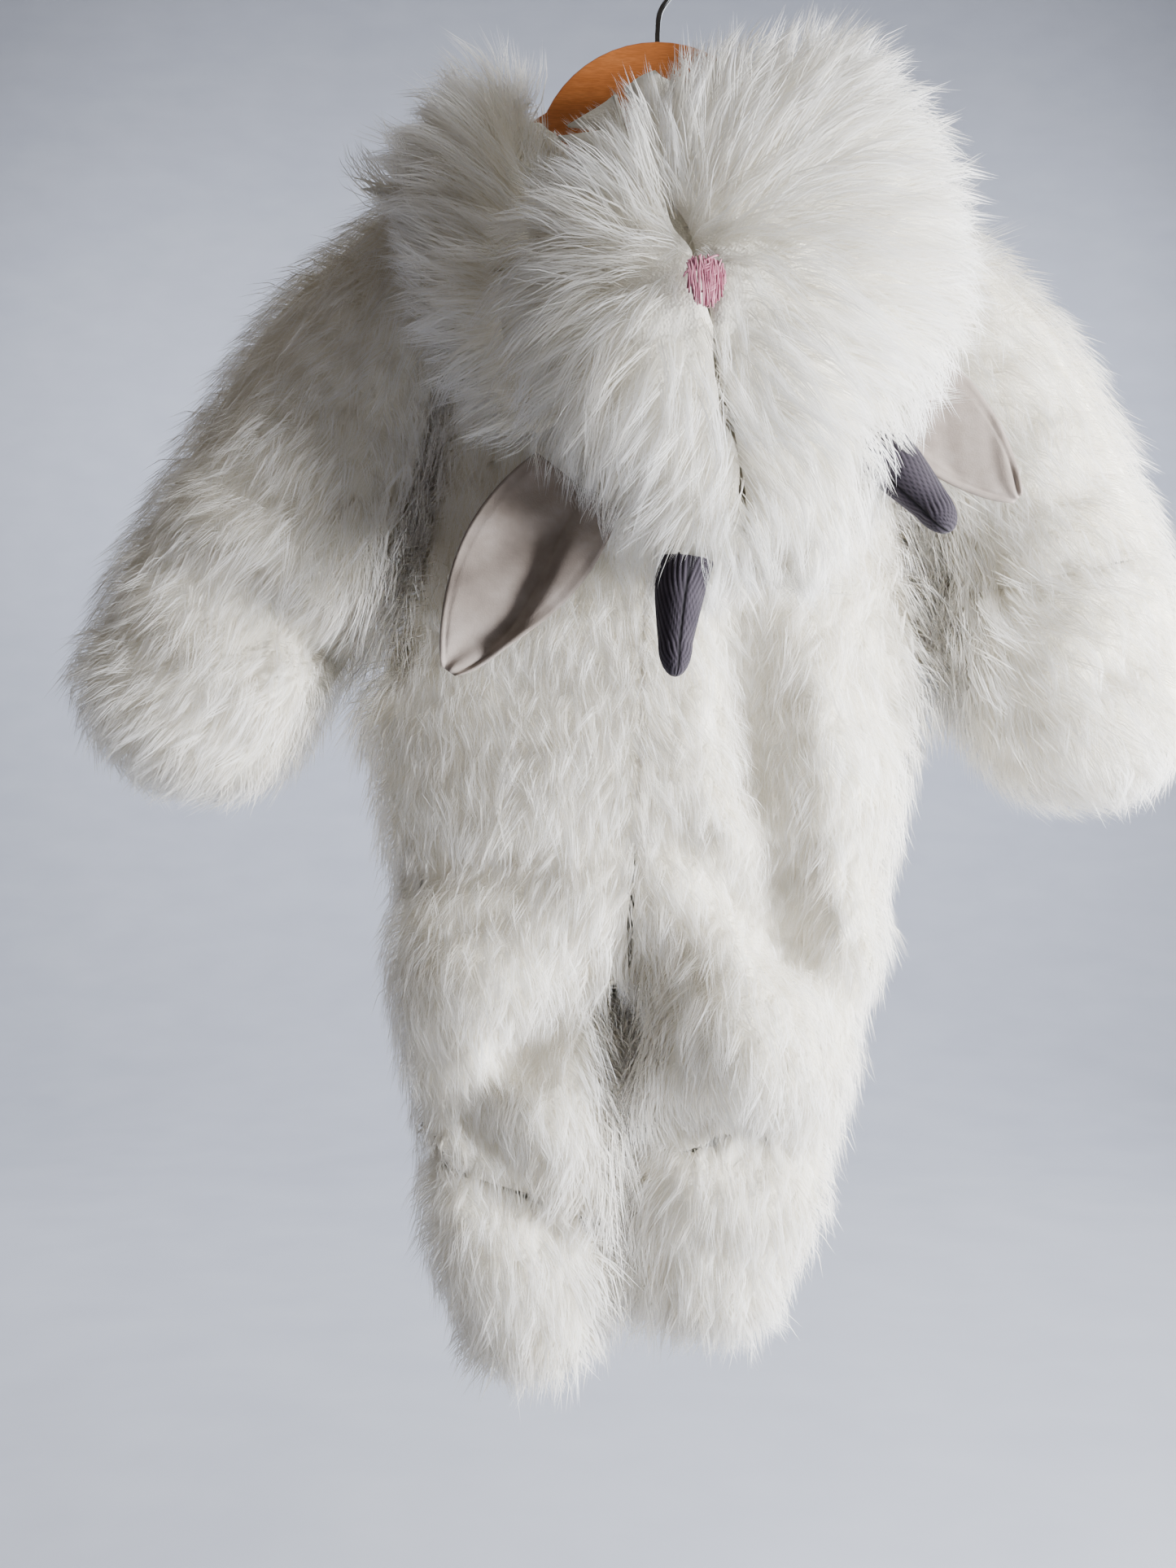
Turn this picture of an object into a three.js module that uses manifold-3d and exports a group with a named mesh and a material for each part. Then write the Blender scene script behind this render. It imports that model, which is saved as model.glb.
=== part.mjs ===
// Goat costume on its wooden hanger: a hooded one-piece in long white fur cloth, seen from the back.
// Millimetres, +Z up, +X to the right of the shown side. -Y is the costume's back, which faces the
// viewer, and +Y its front. The origin is the inside top of the hanger's hook, where it hangs.
//
// The cloth is a wall as thick as its backing and its lying pile together, so it reaches as far as
// the fur does. Each main form is a table of sections. The cloth is the outer form less the same
// form set in by the wall, then cut into its panels along the seams.

import * as THREE from 'three';
import { mergeVertices } from 'three/addons/utils/BufferGeometryUtils.js';
import Module from 'manifold-3d';

const wasm = await Module();
wasm.setup();

// Cloth
const SEAM = 0.3;             // gap along a seam, and between pieces that touch
const BODY_WALL = 14;         // backing and lying pile of the body, sleeves and legs
const HOOD_WALL = 21;         // the hood's longer pile
const ROUNDNESS = 2.35;       // 2 is an ellipse, more is fuller at the corners

// Hanger and hook
const WIRE = 3;               // hook wire, diameter
const HOOK_RADIUS = 20;       // middle of the wire round the bend
const WOOD_TOP = -66;         // top of the wood below the hang point
const WOOD_THICKNESS = 12;
const HUMP_RADIUS = 65;       // round middle of the hanger
const HUMP_FLANK = 25;        // degrees above level where the hump meets an arm
const ARM_REACH = 118;        // middle line to the centre of a tip
const ARM_TIP_Z = -150;
const TIP_RADIUS = 8;
const ARM_LEAN = 62;          // degrees up from level where a tip's round meets its arm
const ARCH_RISE = 22;         // how far the lower edge is drawn up toward the middle
const STEM_SOCKET = 14;       // depth of the hook's hole in the wood
const STEM_RISE = 12;         // straight wire above the wood
const BEND_START = -62;       // degrees round the hook's bend, from its right side up and over
const BEND_END = 205;
const BEND_STEP = 20;

// Sections, from the top down. left, right, back and front are where the section ends.
const TORSO = [
  { z: -108, left: -78, right: 78, back: -36, front: 34 },
  { z: -116, left: -106, right: 108, back: -48, front: 45 },
  { z: -126, left: -120, right: 123, back: -55, front: 50 },
  { z: -138, left: -127, right: 131, back: -59, front: 53 },
  { z: -160, left: -128, right: 134, back: -61, front: 54 },
  { z: -220, left: -122, right: 130, back: -62, front: 55 },
  { z: -290, left: -122, right: 130, back: -62, front: 56 },
  { z: -340, left: -128, right: 136, back: -62, front: 57 },
  { z: -380, left: -143, right: 143, back: -63, front: 58 },
  { z: -415, left: -157, right: 147, back: -64, front: 59 },
  { z: -470, left: -153, right: 135, back: -62, front: 58 },
  { z: -500, left: -150, right: 131, back: -60, front: 55 },
  { z: -526, left: -138, right: 120, back: -54, front: 50 },
  { z: -552, left: -116, right: 94, back: -46, front: 44 },
];
const CROTCH_ROUND = 46;

const LEG_LEFT = [
  { z: -478, left: -116, right: -34, back: -40, front: 36 },
  { z: -502, left: -138, right: -21, back: -52, front: 47 },
  { z: -526, left: -147, right: -18, back: -60, front: 54 },
  { z: -566, left: -147, right: -17, back: -61, front: 54 },
  { z: -606, left: -140, right: -18, back: -57, front: 52 },
  { z: -650, left: -134, right: -19.5, back: -53, front: 49 },
  { z: -692, left: -130, right: -21, back: -50, front: 50 },
  { z: -722, left: -122, right: -22, back: -47, front: 58 },
  { z: -744, left: -112, right: -23, back: -42, front: 60 },
];
const LEG_RIGHT = [
  { z: -478, left: 8, right: 98, back: -40, front: 36 },
  { z: -502, left: -6, right: 119, back: -52, front: 47 },
  { z: -526, left: -13, right: 127, back: -60, front: 54 },
  { z: -566, left: -14.5, right: 120, back: -62, front: 54 },
  { z: -606, left: -15.5, right: 108, back: -62, front: 52 },
  { z: -650, left: -17, right: 99, back: -53, front: 49 },
  { z: -682, left: -17.5, right: 93, back: -51, front: 50 },
  { z: -706, left: -17, right: 84, back: -47, front: 58 },
  { z: -724, left: -15, right: 74, back: -42, front: 59 },
];
const FOOT_ROUND = 38;

// Sections square to the arm: middle, lean from plumb in degrees, half width and half depth.
const SLEEVE_LEFT = [
  { x: -88, y: -2, z: -174, tilt: -42, half: 57, deep: 48 },
  { x: -118, y: -2, z: -204, tilt: -38, half: 60, deep: 53 },
  { x: -158, y: -2, z: -244, tilt: -33, half: 62, deep: 56 },
  { x: -190, y: -3, z: -303, tilt: -27, half: 65, deep: 58 },
  { x: -221, y: -5, z: -366, tilt: -27, half: 69, deep: 59 },
  { x: -242, y: -7, z: -412, tilt: -26, half: 69, deep: 56 },
];
const SLEEVE_RIGHT = [
  { x: 98, y: -2, z: -182, tilt: 40, half: 54, deep: 48 },
  { x: 130, y: -3, z: -212, tilt: 33, half: 57, deep: 53 },
  { x: 163, y: -4, z: -248, tilt: 24, half: 60, deep: 56 },
  { x: 194, y: -6, z: -308, tilt: 16, half: 58, deep: 58 },
  { x: 212, y: -8, z: -372, tilt: 11, half: 62, deep: 59 },
  { x: 220, y: -9, z: -417, tilt: 8, half: 65, deep: 56 },
];
const MITT_ROUND = 58;

// The hood hangs down the back, upside down: its face opening is at the top, its crown below.
const HOOD_HEAD = [
  { z: -140, left: -52, right: 100, back: -134, front: -60 },
  { z: -168, left: -70, right: 117, back: -150, front: -58 },
  { z: -210, left: -78, right: 129, back: -164, front: -58 },
  { z: -254, left: -80, right: 131, back: -171, front: -58 },
  { z: -292, left: -70, right: 118, back: -169, front: -58 },
  { z: -318, left: -60, right: 103, back: -164, front: -58 },
  { z: -342, left: -40, right: 98, back: -152, front: -60 },
];
const CROWN_ROUND = 43;
const CHEEK_LEFT = [
  { z: -112, left: -121, right: -57, back: -66, front: 34 },
  { z: -150, left: -136, right: -50, back: -92, front: 30 },
  { z: -200, left: -132, right: -34, back: -106, front: -20 },
  { z: -245, left: -120, right: -30, back: -108, front: -40 },
  { z: -285, left: -96, right: -30, back: -104, front: -50 },
];
const CHEEK_RIGHT = [
  { z: -92, left: 60, right: 114, back: -60, front: 34 },
  { z: -122, left: 52, right: 130, back: -84, front: 34 },
  { z: -155, left: 50, right: 140, back: -98, front: 26 },
  { z: -192, left: 54, right: 143, back: -104, front: -20 },
  { z: -230, left: 66, right: 140, back: -104, front: -40 },
];
const CHEEK_ROUND = 20;
// The nape runs up the costume's back from the hood's mouth to the neck seam.
const NAPE = [
  { z: -120, left: -60, right: 76, back: -57, front: -34 },
  { z: -134, left: -62, right: 88, back: -70, front: -40 },
  { z: -152, left: -60, right: 96, back: -80, front: -46 },
  { z: -182, left: -60, right: 98, back: -80, front: -50 },
];

// Folds, each a soft trough from one place to another; a minus depth is a ridge.
const BODY_FOLDS = [
  { side: 'back', x1: 38, z1: -365, x2: 54, z2: -468, depth: 10, width: 15 },
  { side: 'back', x1: 54, z1: -460, x2: 72, z2: -540, depth: 10, width: 15 },
  { side: 'back', x1: 14, z1: -490, x2: 101, z2: -573, depth: 7, width: 15 },
  { side: 'back', x1: -140, z1: -500, x2: -28, z2: -500, depth: 7, width: 13 },
  { side: 'back', x1: -110, z1: -522, x2: -62, z2: -530, depth: 7, width: 13 },
  { side: 'back', x1: -10, z1: -497, x2: -18, z2: -590, depth: 8, width: 14 },
  { side: 'back', x1: -46, z1: -572, x2: -84, z2: -616, depth: 9, width: 15 },
  { side: 'back', x1: -104, z1: -622, x2: -66, z2: -654, depth: 8, width: 14 },
  { side: 'back', x1: 36, z1: -560, x2: 46, z2: -622, depth: -9, width: 34 },
  { side: 'back', x1: -8, z1: -634, x2: 42, z2: -655, depth: 10, width: 13 },
  { side: 'back', x1: 42, z1: -655, x2: 90, z2: -630, depth: 10, width: 13 },
  { side: 'back', x1: -128, z1: -655, x2: -40, z2: -684, depth: 8, width: 13 },
  { side: 'front', x1: -120, z1: -496, x2: -20, z2: -520, depth: 7, width: 14 },
  { side: 'front', x1: 118, z1: -505, x2: 16, z2: -528, depth: 7, width: 14 },
  { side: 'front', x1: -112, z1: -600, x2: -40, z2: -628, depth: 8, width: 14 },
  { side: 'front', x1: 96, z1: -598, x2: 20, z2: -622, depth: 8, width: 14 },
  { side: 'front', x1: -60, z1: -300, x2: -72, z2: -430, depth: 6, width: 16 },
  { side: 'front', x1: 66, z1: -290, x2: 60, z2: -420, depth: 6, width: 16 },
];
const SLEEVE_FOLDS = [
  { side: 'back', x1: -244, z1: -352, x2: -196, z2: -392, depth: 10, width: 13 },
  { side: 'back', x1: -196, z1: -392, x2: -152, z2: -386, depth: 10, width: 13 },
  { side: 'back', x1: -222, z1: -320, x2: -176, z2: -356, depth: -7, width: 22 },
  { side: 'back', x1: -200, z1: -262, x2: -164, z2: -286, depth: 6, width: 15 },
  { side: 'back', x1: 172, z1: -318, x2: 160, z2: -352, depth: 10, width: 14 },
  { side: 'back', x1: 236, z1: -330, x2: 196, z2: -352, depth: 6, width: 15 },
  { side: 'back', x1: 214, z1: -262, x2: 176, z2: -282, depth: 5, width: 15 },
  { side: 'front', x1: -250, z1: -330, x2: -178, z2: -360, depth: 8, width: 14 },
  { side: 'front', x1: 250, z1: -326, x2: 172, z2: -346, depth: 8, width: 14 },
];
const NOSE_X = 9;
const NOSE_Z = -262;
const HOOD_FOLDS = [
  { side: 'back', x1: NOSE_X - 8, z1: NOSE_Z + 60, x2: NOSE_X, z2: NOSE_Z, depth: 9, width: 13 },
  { side: 'back', x1: NOSE_X, z1: NOSE_Z, x2: NOSE_X + 26, z2: NOSE_Z - 74, depth: 5, width: 13 },
  { side: 'back', x1: NOSE_X - 36, z1: NOSE_Z, x2: NOSE_X - 30, z2: NOSE_Z - 30, depth: -7, width: 26 },
  { side: 'back', x1: NOSE_X + 36, z1: NOSE_Z + 6, x2: NOSE_X + 46, z2: NOSE_Z - 26, depth: -7, width: 26 },
];

// Seams
const CENTRE_SEAM = { x: 0, z: -98, tilt: -1.9 };
const ANKLE_LEFT = { x: -76, z: -668, tilt: -17 };
const ANKLE_RIGHT = { x: 42, z: -646, tilt: 0 };
const SOLE_LEFT_Z = -758;
const SOLE_RIGHT_Z = -738;
const WRIST_LEFT = { x: -214, z: -352, tilt: -27 };
const WRIST_RIGHT = { x: 207, z: -352, tilt: 12 };
const HOOD_SEAM = { x: NOSE_X, z: NOSE_Z, tilt: 14 };
// The face opening's edge sags on the left, and shows the hanger's hump above it.
const MOUTH_EDGE = { x: 7, z: -154, tilt: 40 };
// So does the neckline, in the nape and the back: a slanting cut that ends at the shoulder.
const NECKLINE = { point: [-46, -57, -149], below: [0.466, 0.425, -0.776] };
const SHOULDER_EDGE = { x: -50, z: -141, tilt: 34 };

// Trim
const NOSE = { width: 17, height: 23, thickness: 2.2 };
const HORN_LEFT = [
  { x: 8, y: -118, z: -346, tilt: -8, half: 12.5, deep: 12 },
  { x: 3, y: -120, z: -374, tilt: -6, half: 11, deep: 10.5 },
  { x: 1, y: -121, z: -399, tilt: 0, half: 7.5, deep: 7.5 },
];
const HORN_RIGHT = [
  { x: 76, y: -118, z: -298, tilt: 42, half: 13, deep: 12 },
  { x: 96, y: -120, z: -321, tilt: 42, half: 11.5, deep: 11 },
  { x: 112, y: -121, z: -339, tilt: 38, half: 8, deep: 8 },
];
const HORN_ROUND = 14;
const EAR_THICKNESS = 3.4;    // two layers of suede
// turn is about the ear's length; crease1 and crease2 are where its fold runs, from root to tip, as
// shares of the half width; fold is how far the flap beyond the crease comes toward the viewer.
const EAR_LEFT = {
  x: -33, y: -98, z: -316, tilt: -36, turn: 6, length: 114, width: 62, crease1: -0.1, crease2: 0.62, fold: 78,
};
const EAR_RIGHT = {
  x: 88, y: -92, z: -262, tilt: 47, turn: -12, length: 98, width: 46, crease1: -0.3, crease2: -0.6, fold: -38,
};

const FUR = { color: 0xf2eee2, roughness: 0.95, metalness: 0 };
const HOOD_FUR = { color: 0xf5f2e8, roughness: 0.95, metalness: 0 };
const SUEDE = { color: 0x9b8f84, roughness: 0.85, metalness: 0 };
const CORDUROY = { color: 0x4a444c, roughness: 0.9, metalness: 0 };
const PINK_THREAD = { color: 0xc8919f, roughness: 0.6, metalness: 0 };
const VARNISHED_WOOD = { color: 0xb0621c, roughness: 0.35, metalness: 0 };
const CHROME_WIRE = { color: 0xb9bcc0, roughness: 0.2, metalness: 1 };

// How finely each form is divided: corners round a section, and millimetres from one to the next.
const TORSO_GRID = { sides: 36, spacing: 19 };
const LIMB_GRID = { sides: 22, spacing: 19 };
const HEAD_GRID = { sides: 32, spacing: 19 };
const CHEEK_GRID = { sides: 16, spacing: 28 };
const NAPE_GRID = { sides: 16, spacing: 24 };
const HORN_GRID = { sides: 16, spacing: 12 };
const TORSO_LINING_GRID = { sides: 20, spacing: 44 };
const LIMB_LINING_GRID = { sides: 14, spacing: 44 };
const HEAD_LINING_GRID = { sides: 16, spacing: 44 };
const ROUND_END_STEPS = 4;
const NECK_LINING_RISE = 60;  // the lining runs on upward through the neck
const HOOD_MOUTH_RISE = 80;   // and the hood's hollow through its face opening
const SHORTEST_EDGE = 0.09;

const radians = THREE.MathUtils.degToRad;

// The direction along a leaning form, downwards, and the one across it.
const alongOf = (tilt) => new THREE.Vector3(Math.sin(radians(tilt)), 0, -Math.cos(radians(tilt)));
const acrossOf = (tilt) => new THREE.Vector3(Math.cos(radians(tilt)), 0, Math.sin(radians(tilt)));

// A solid from points and triangles, turned right side out.
function solidOf(points, triangles) {
  let volume = 0;
  for (let i = 0; i < triangles.length; i += 3) {
    const [a, b, c] = [points[triangles[i]], points[triangles[i + 1]], points[triangles[i + 2]]];
    volume += a.dot(new THREE.Vector3().crossVectors(b, c));
  }
  const order = volume < 0 ? [...triangles].reverse() : triangles;
  const numbers = Float32Array.from(points.flatMap((p) => [p.x, p.y, p.z]));
  const mesh = new wasm.Mesh({ numProp: 3, vertProperties: numbers, triVerts: Uint32Array.from(order) });
  return new wasm.Manifold(mesh);
}

// A solid from one of the geometry classes.
function solidOfGeometry(geometry) {
  geometry.deleteAttribute('normal');
  geometry.deleteAttribute('uv');
  const merged = mergeVertices(geometry, 1e-4);
  const place = merged.getAttribute('position');
  const points = [];
  for (let i = 0; i < place.count; i += 1) {
    points.push(new THREE.Vector3().fromBufferAttribute(place, i));
  }
  return solidOf(points, Array.from(merged.index.array));
}

// All of space on one side of a plane, as a block far larger than the costume.
const BLOCK = 2400;
function beyond(point, direction, gap = SEAM) {
  const block = new THREE.BoxGeometry(BLOCK, BLOCK, BLOCK);
  block.applyQuaternion(new THREE.Quaternion().setFromUnitVectors(new THREE.Vector3(0, 0, 1), direction));
  const centre = direction.clone().multiplyScalar((BLOCK + gap) / 2).add(point);
  block.translate(centre.x, centre.y, centre.z);
  return solidOfGeometry(block);
}

// How far a point of a wall is set in by the folds near it. A fold is deepest at its middle.
const FOLD_FADE = 0.2;
function foldDepth(folds, x, z, side) {
  let depth = 0;
  for (const fold of folds) {
    if (fold.side !== side) continue;
    const [dx, dz] = [fold.x2 - fold.x1, fold.z2 - fold.z1];
    const share = ((x - fold.x1) * dx + (z - fold.z1) * dz) / (dx * dx + dz * dz);
    const t = THREE.MathUtils.clamp(share, 0, 1);
    const off = Math.hypot(x - fold.x1 - t * dx, z - fold.z1 - t * dz);
    const along = Math.sin(Math.PI * (FOLD_FADE + (1 - 2 * FOLD_FADE) * t));
    depth += fold.depth * along * Math.exp(-((off / fold.width) ** 2));
  }
  return depth;
}

// An upright section, given by where it ends, as a middle and half sizes.
const upright = (rows) => rows.map((row) => ({
  x: (row.left + row.right) / 2,
  y: (row.back + row.front) / 2,
  z: row.z,
  tilt: 0,
  half: (row.right - row.left) / 2,
  deep: (row.front - row.back) / 2,
}));

// Even sections along a table, smoothed between its rows. A wall sets them in, square to the side.
const COLUMNS = ['x', 'y', 'z', 'tilt', 'half', 'deep'];
function sectionsOf(rows, spacing, inset) {
  const stations = [0];
  for (let i = 1; i < rows.length; i += 1) {
    const [a, b] = [rows[i - 1], rows[i]];
    stations.push(stations[i - 1] + Math.hypot(b.x - a.x, b.z - a.z, b.half - a.half));
  }
  const values = rows.flatMap((row) => COLUMNS.map((column) => row[column]));
  const curve = new THREE.CubicInterpolant(stations, values, COLUMNS.length);
  const length = stations.at(-1);
  const count = Math.ceil(length / spacing);
  const at = (s) => Object.fromEntries(Array.from(curve.evaluate(s)).map((value, i) => [COLUMNS[i], value]));
  const sections = [];
  for (let i = 0; i <= count; i += 1) {
    const s = (length * i) / count;
    const section = at(s);
    const [before, after] = [at(Math.max(s - 1, 0)), at(Math.min(s + 1, length))];
    const down = Math.hypot(after.x - before.x, after.z - before.z);
    const slope = Math.atan2(after.half - before.half, down);
    const middle = new THREE.Vector3(section.x, section.y, section.z);
    middle.addScaledVector(alongOf(section.tilt), inset * Math.sin(slope));
    sections.push({
      middle,
      tilt: section.tilt,
      half: section.half - inset * Math.cos(slope),
      deep: section.deep - inset * Math.max(Math.cos(slope), 0.7),
    });
  }
  return sections;
}

// A closed form through a table of sections. Its ends are flat, rounded off, or carried on.
function form(rows, { sides, spacing, inset = 0, roundTop = 0, roundEnd = 0, carryOn = 0, folds = [] }) {
  const sections = sectionsOf(rows, spacing, inset);
  const [first, last] = [sections[0], sections.at(-1)];
  const steps = ROUND_END_STEPS;
  const rounded = (end, reach) => {
    const extra = [];
    for (let i = 1; i < steps; i += 1) {
      const angle = (Math.PI / 2) * (i / steps);
      const middle = end.middle.clone().addScaledVector(alongOf(end.tilt), reach * Math.sin(angle));
      extra.push({ ...end, middle, half: end.half * Math.cos(angle), deep: end.deep * Math.cos(angle) });
    }
    return extra;
  };
  const endReach = Math.max(roundEnd - inset, 0);
  const topReach = Math.max(roundTop - inset, 0);
  if (endReach > 0) sections.push(...rounded(last, endReach));
  if (topReach > 0) sections.unshift(...rounded(first, -topReach).reverse());
  if (carryOn > 0) {
    const middle = first.middle.clone().addScaledVector(alongOf(first.tilt), -carryOn);
    sections.unshift({ ...first, middle });
  }
  const points = [];
  for (const section of sections) {
    const across = acrossOf(section.tilt);
    for (let i = 0; i < sides; i += 1) {
      const angle = (2 * Math.PI * i) / sides;
      const [c, s] = [Math.cos(angle), Math.sin(angle)];
      const u = section.half * Math.sign(c) * Math.abs(c) ** (2 / ROUNDNESS);
      const v = section.deep * Math.sign(s) * Math.abs(s) ** (2 / ROUNDNESS);
      const point = section.middle.clone().addScaledVector(across, u);
      point.y += v;
      if (folds.length > 0) {
        const depth = foldDepth(folds, point.x, point.z, v < 0 ? 'back' : 'front');
        point.y -= depth * s;
        point.addScaledVector(across, -depth * c);
      }
      points.push(point);
    }
  }
  const triangles = [];
  const ring = (row, i) => row * sides + (i % sides);
  for (let row = 0; row < sections.length - 1; row += 1) {
    for (let i = 0; i < sides; i += 1) {
      triangles.push(ring(row, i), ring(row, i + 1), ring(row + 1, i + 1));
      triangles.push(ring(row, i), ring(row + 1, i + 1), ring(row + 1, i));
    }
  }
  const topPoint = first.middle.clone().addScaledVector(alongOf(first.tilt), -topReach - carryOn);
  const endPoint = last.middle.clone().addScaledVector(alongOf(last.tilt), endReach);
  const topPole = points.push(topPoint) - 1;
  const endPole = points.push(endPoint) - 1;
  for (let i = 0; i < sides; i += 1) {
    triangles.push(topPole, ring(0, i + 1), ring(0, i));
    triangles.push(endPole, ring(sections.length - 1, i), ring(sections.length - 1, i + 1));
  }
  return solidOf(points, triangles);
}

// The largest body of a cut, without the crumbs that a cut can leave, and without its shortest edges.
function clean(solid) {
  const bodies = solid.simplify(SHORTEST_EDGE).decompose();
  bodies.sort((a, b) => b.volume() - a.volume());
  return bodies[0];
}

const costume = new THREE.Group();
function add(name, solid, finish) {
  const mesh = clean(solid).getMesh();
  const geometry = new THREE.BufferGeometry();
  geometry.setAttribute('position', new THREE.Float32BufferAttribute(mesh.vertProperties, 3));
  geometry.setIndex(Array.from(mesh.triVerts));
  geometry.computeVertexNormals();
  const piece = new THREE.Mesh(geometry, new THREE.MeshStandardMaterial(finish));
  piece.name = name;
  costume.add(piece);
}

// Hanger
function hangerBlank(grow) {
  const radius = HUMP_RADIUS + grow;
  const tip = TIP_RADIUS + grow;
  const humpZ = WOOD_TOP - HUMP_RADIUS;
  const flank = radians(HUMP_FLANK);
  const lean = radians(ARM_LEAN);
  const outline = new THREE.Shape();
  outline.moveTo(ARM_REACH, ARM_TIP_Z - tip);
  outline.absarc(ARM_REACH, ARM_TIP_Z, tip, -Math.PI / 2, lean);
  outline.absarc(0, humpZ, radius, flank, Math.PI - flank);
  outline.absarc(-ARM_REACH, ARM_TIP_Z, tip, Math.PI - lean, 1.5 * Math.PI);
  outline.quadraticCurveTo(0, humpZ + ARCH_RISE - grow, ARM_REACH, ARM_TIP_Z - tip);
  const thickness = WOOD_THICKNESS + 2 * grow;
  const settings = { depth: thickness, bevelEnabled: false, curveSegments: 9 };
  const blank = new THREE.ExtrudeGeometry(outline, settings);
  blank.rotateX(Math.PI / 2);
  blank.translate(0, thickness / 2, 0);
  return solidOfGeometry(blank);
}

function hookWire(grow) {
  const points = [
    new THREE.Vector3(0, 0, WOOD_TOP - STEM_SOCKET - grow),
    new THREE.Vector3(0, 0, WOOD_TOP + STEM_RISE),
  ];
  const centreZ = WIRE / 2 - HOOK_RADIUS;
  for (let degrees = BEND_START; degrees <= BEND_END; degrees += BEND_STEP) {
    const angle = radians(degrees);
    points.push(new THREE.Vector3(HOOK_RADIUS * Math.cos(angle), 0, centreZ + HOOK_RADIUS * Math.sin(angle)));
  }
  const section = new THREE.Shape();
  section.absarc(0, 0, WIRE / 2 + grow, 0, 2 * Math.PI);
  const path = new THREE.CatmullRomCurve3(points);
  const wire = new THREE.ExtrudeGeometry(section, { steps: 32, curveSegments: 4, extrudePath: path });
  return solidOfGeometry(wire);
}

// Ear: a leaf of suede, creased from its root toward its tip, with the flap beyond the crease turned up.
// Its outline is a stretch of a half wave: it starts part-way up at the root and runs nearly to a point.
const LEAF_START = 0.2;
const LEAF_SPAN = 0.78;
const LEAF_FULLNESS = 0.75;
function earLeaf({ x, y, z, tilt, turn, length, width, crease1, crease2, fold }) {
  const rows = 10;
  const columns = 8;
  const points = [];
  const triangles = [];
  const turned = new THREE.Quaternion().setFromAxisAngle(alongOf(tilt), radians(turn));
  const across = acrossOf(tilt).applyQuaternion(turned);
  const toward = new THREE.Vector3(0, -1, 0).applyQuaternion(turned);
  const folded = radians(Math.abs(fold));
  for (const layer of [0, 1]) {
    for (let row = 0; row <= rows; row += 1) {
      const t = row / rows;
      const middle = new THREE.Vector3(x, y, z).addScaledVector(alongOf(tilt), length * t);
      const half = (width / 2) * Math.sin(Math.PI * (LEAF_START + LEAF_SPAN * t)) ** LEAF_FULLNESS;
      const crease = THREE.MathUtils.lerp(crease1, crease2, t);
      for (let column = 0; column <= columns; column += 1) {
        const u = (2 * column) / columns - 1;
        const flap = fold > 0 ? Math.max(u - crease, 0) : Math.min(u - crease, 0);
        const flat = u - flap;
        const bend = flap === 0 ? 0 : folded * Math.sign(flap);
        const point = middle.clone().addScaledVector(across, half * (flat + flap * Math.cos(bend)));
        point.addScaledVector(toward, half * flap * Math.sin(bend));
        const normal = toward.clone().multiplyScalar(Math.cos(bend / 2));
        normal.addScaledVector(across, -Math.sin(bend / 2));
        point.addScaledVector(normal, EAR_THICKNESS * (layer - 0.5));
        points.push(point);
      }
    }
  }
  const size = (rows + 1) * (columns + 1);
  const at = (layer, row, column) => layer * size + row * (columns + 1) + column;
  const quad = (a, b, c, d) => triangles.push(a, b, c, a, c, d);
  for (let row = 0; row < rows; row += 1) {
    for (let column = 0; column < columns; column += 1) {
      quad(at(0, row, column), at(0, row, column + 1), at(0, row + 1, column + 1), at(0, row + 1, column));
      quad(at(1, row, column), at(1, row + 1, column), at(1, row + 1, column + 1), at(1, row, column + 1));
    }
    quad(at(0, row, 0), at(0, row + 1, 0), at(1, row + 1, 0), at(1, row, 0));
    quad(at(0, row, columns), at(1, row, columns), at(1, row + 1, columns), at(0, row + 1, columns));
  }
  for (let column = 0; column < columns; column += 1) {
    quad(at(0, 0, column), at(1, 0, column), at(1, 0, column + 1), at(0, 0, column + 1));
    quad(at(0, rows, column), at(0, rows, column + 1), at(1, rows, column + 1), at(1, rows, column));
  }
  return solidOf(points, triangles);
}

// Nose: a small patch worked in thread on the forehead, wider at the top and round at the corners.
// Each row is a bend of its outline and where that bend ends, in half widths and half heights.
const NOSE_OUTLINE = [
  [1.2, 1, 1, 0.2],
  [0.7, -0.8, 0, -1],
  [-0.9, -0.6, -1, 0.1],
  [-1.1, 1, 0, 1],
];
const NOSE_BLOCK_Y = -110;
const NOSE_BLOCK = 80;        // the patch is cut out of a block that runs through the hood's back wall
function nosePatch() {
  const outline = new THREE.Shape();
  const [w, h] = [NOSE.width / 2, NOSE.height / 2];
  outline.moveTo(0, h);
  for (const [bendX, bendZ, endX, endZ] of NOSE_OUTLINE) {
    outline.quadraticCurveTo(w * bendX, h * bendZ, w * endX, h * endZ);
  }
  const settings = { depth: NOSE_BLOCK, bevelEnabled: false, curveSegments: 4 };
  const patch = new THREE.ExtrudeGeometry(outline, settings);
  patch.rotateX(Math.PI / 2);
  patch.rotateY(radians(HOOD_SEAM.tilt / 2));
  patch.translate(NOSE_X, NOSE_BLOCK_Y, NOSE_Z);
  return solidOfGeometry(patch);
}

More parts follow.
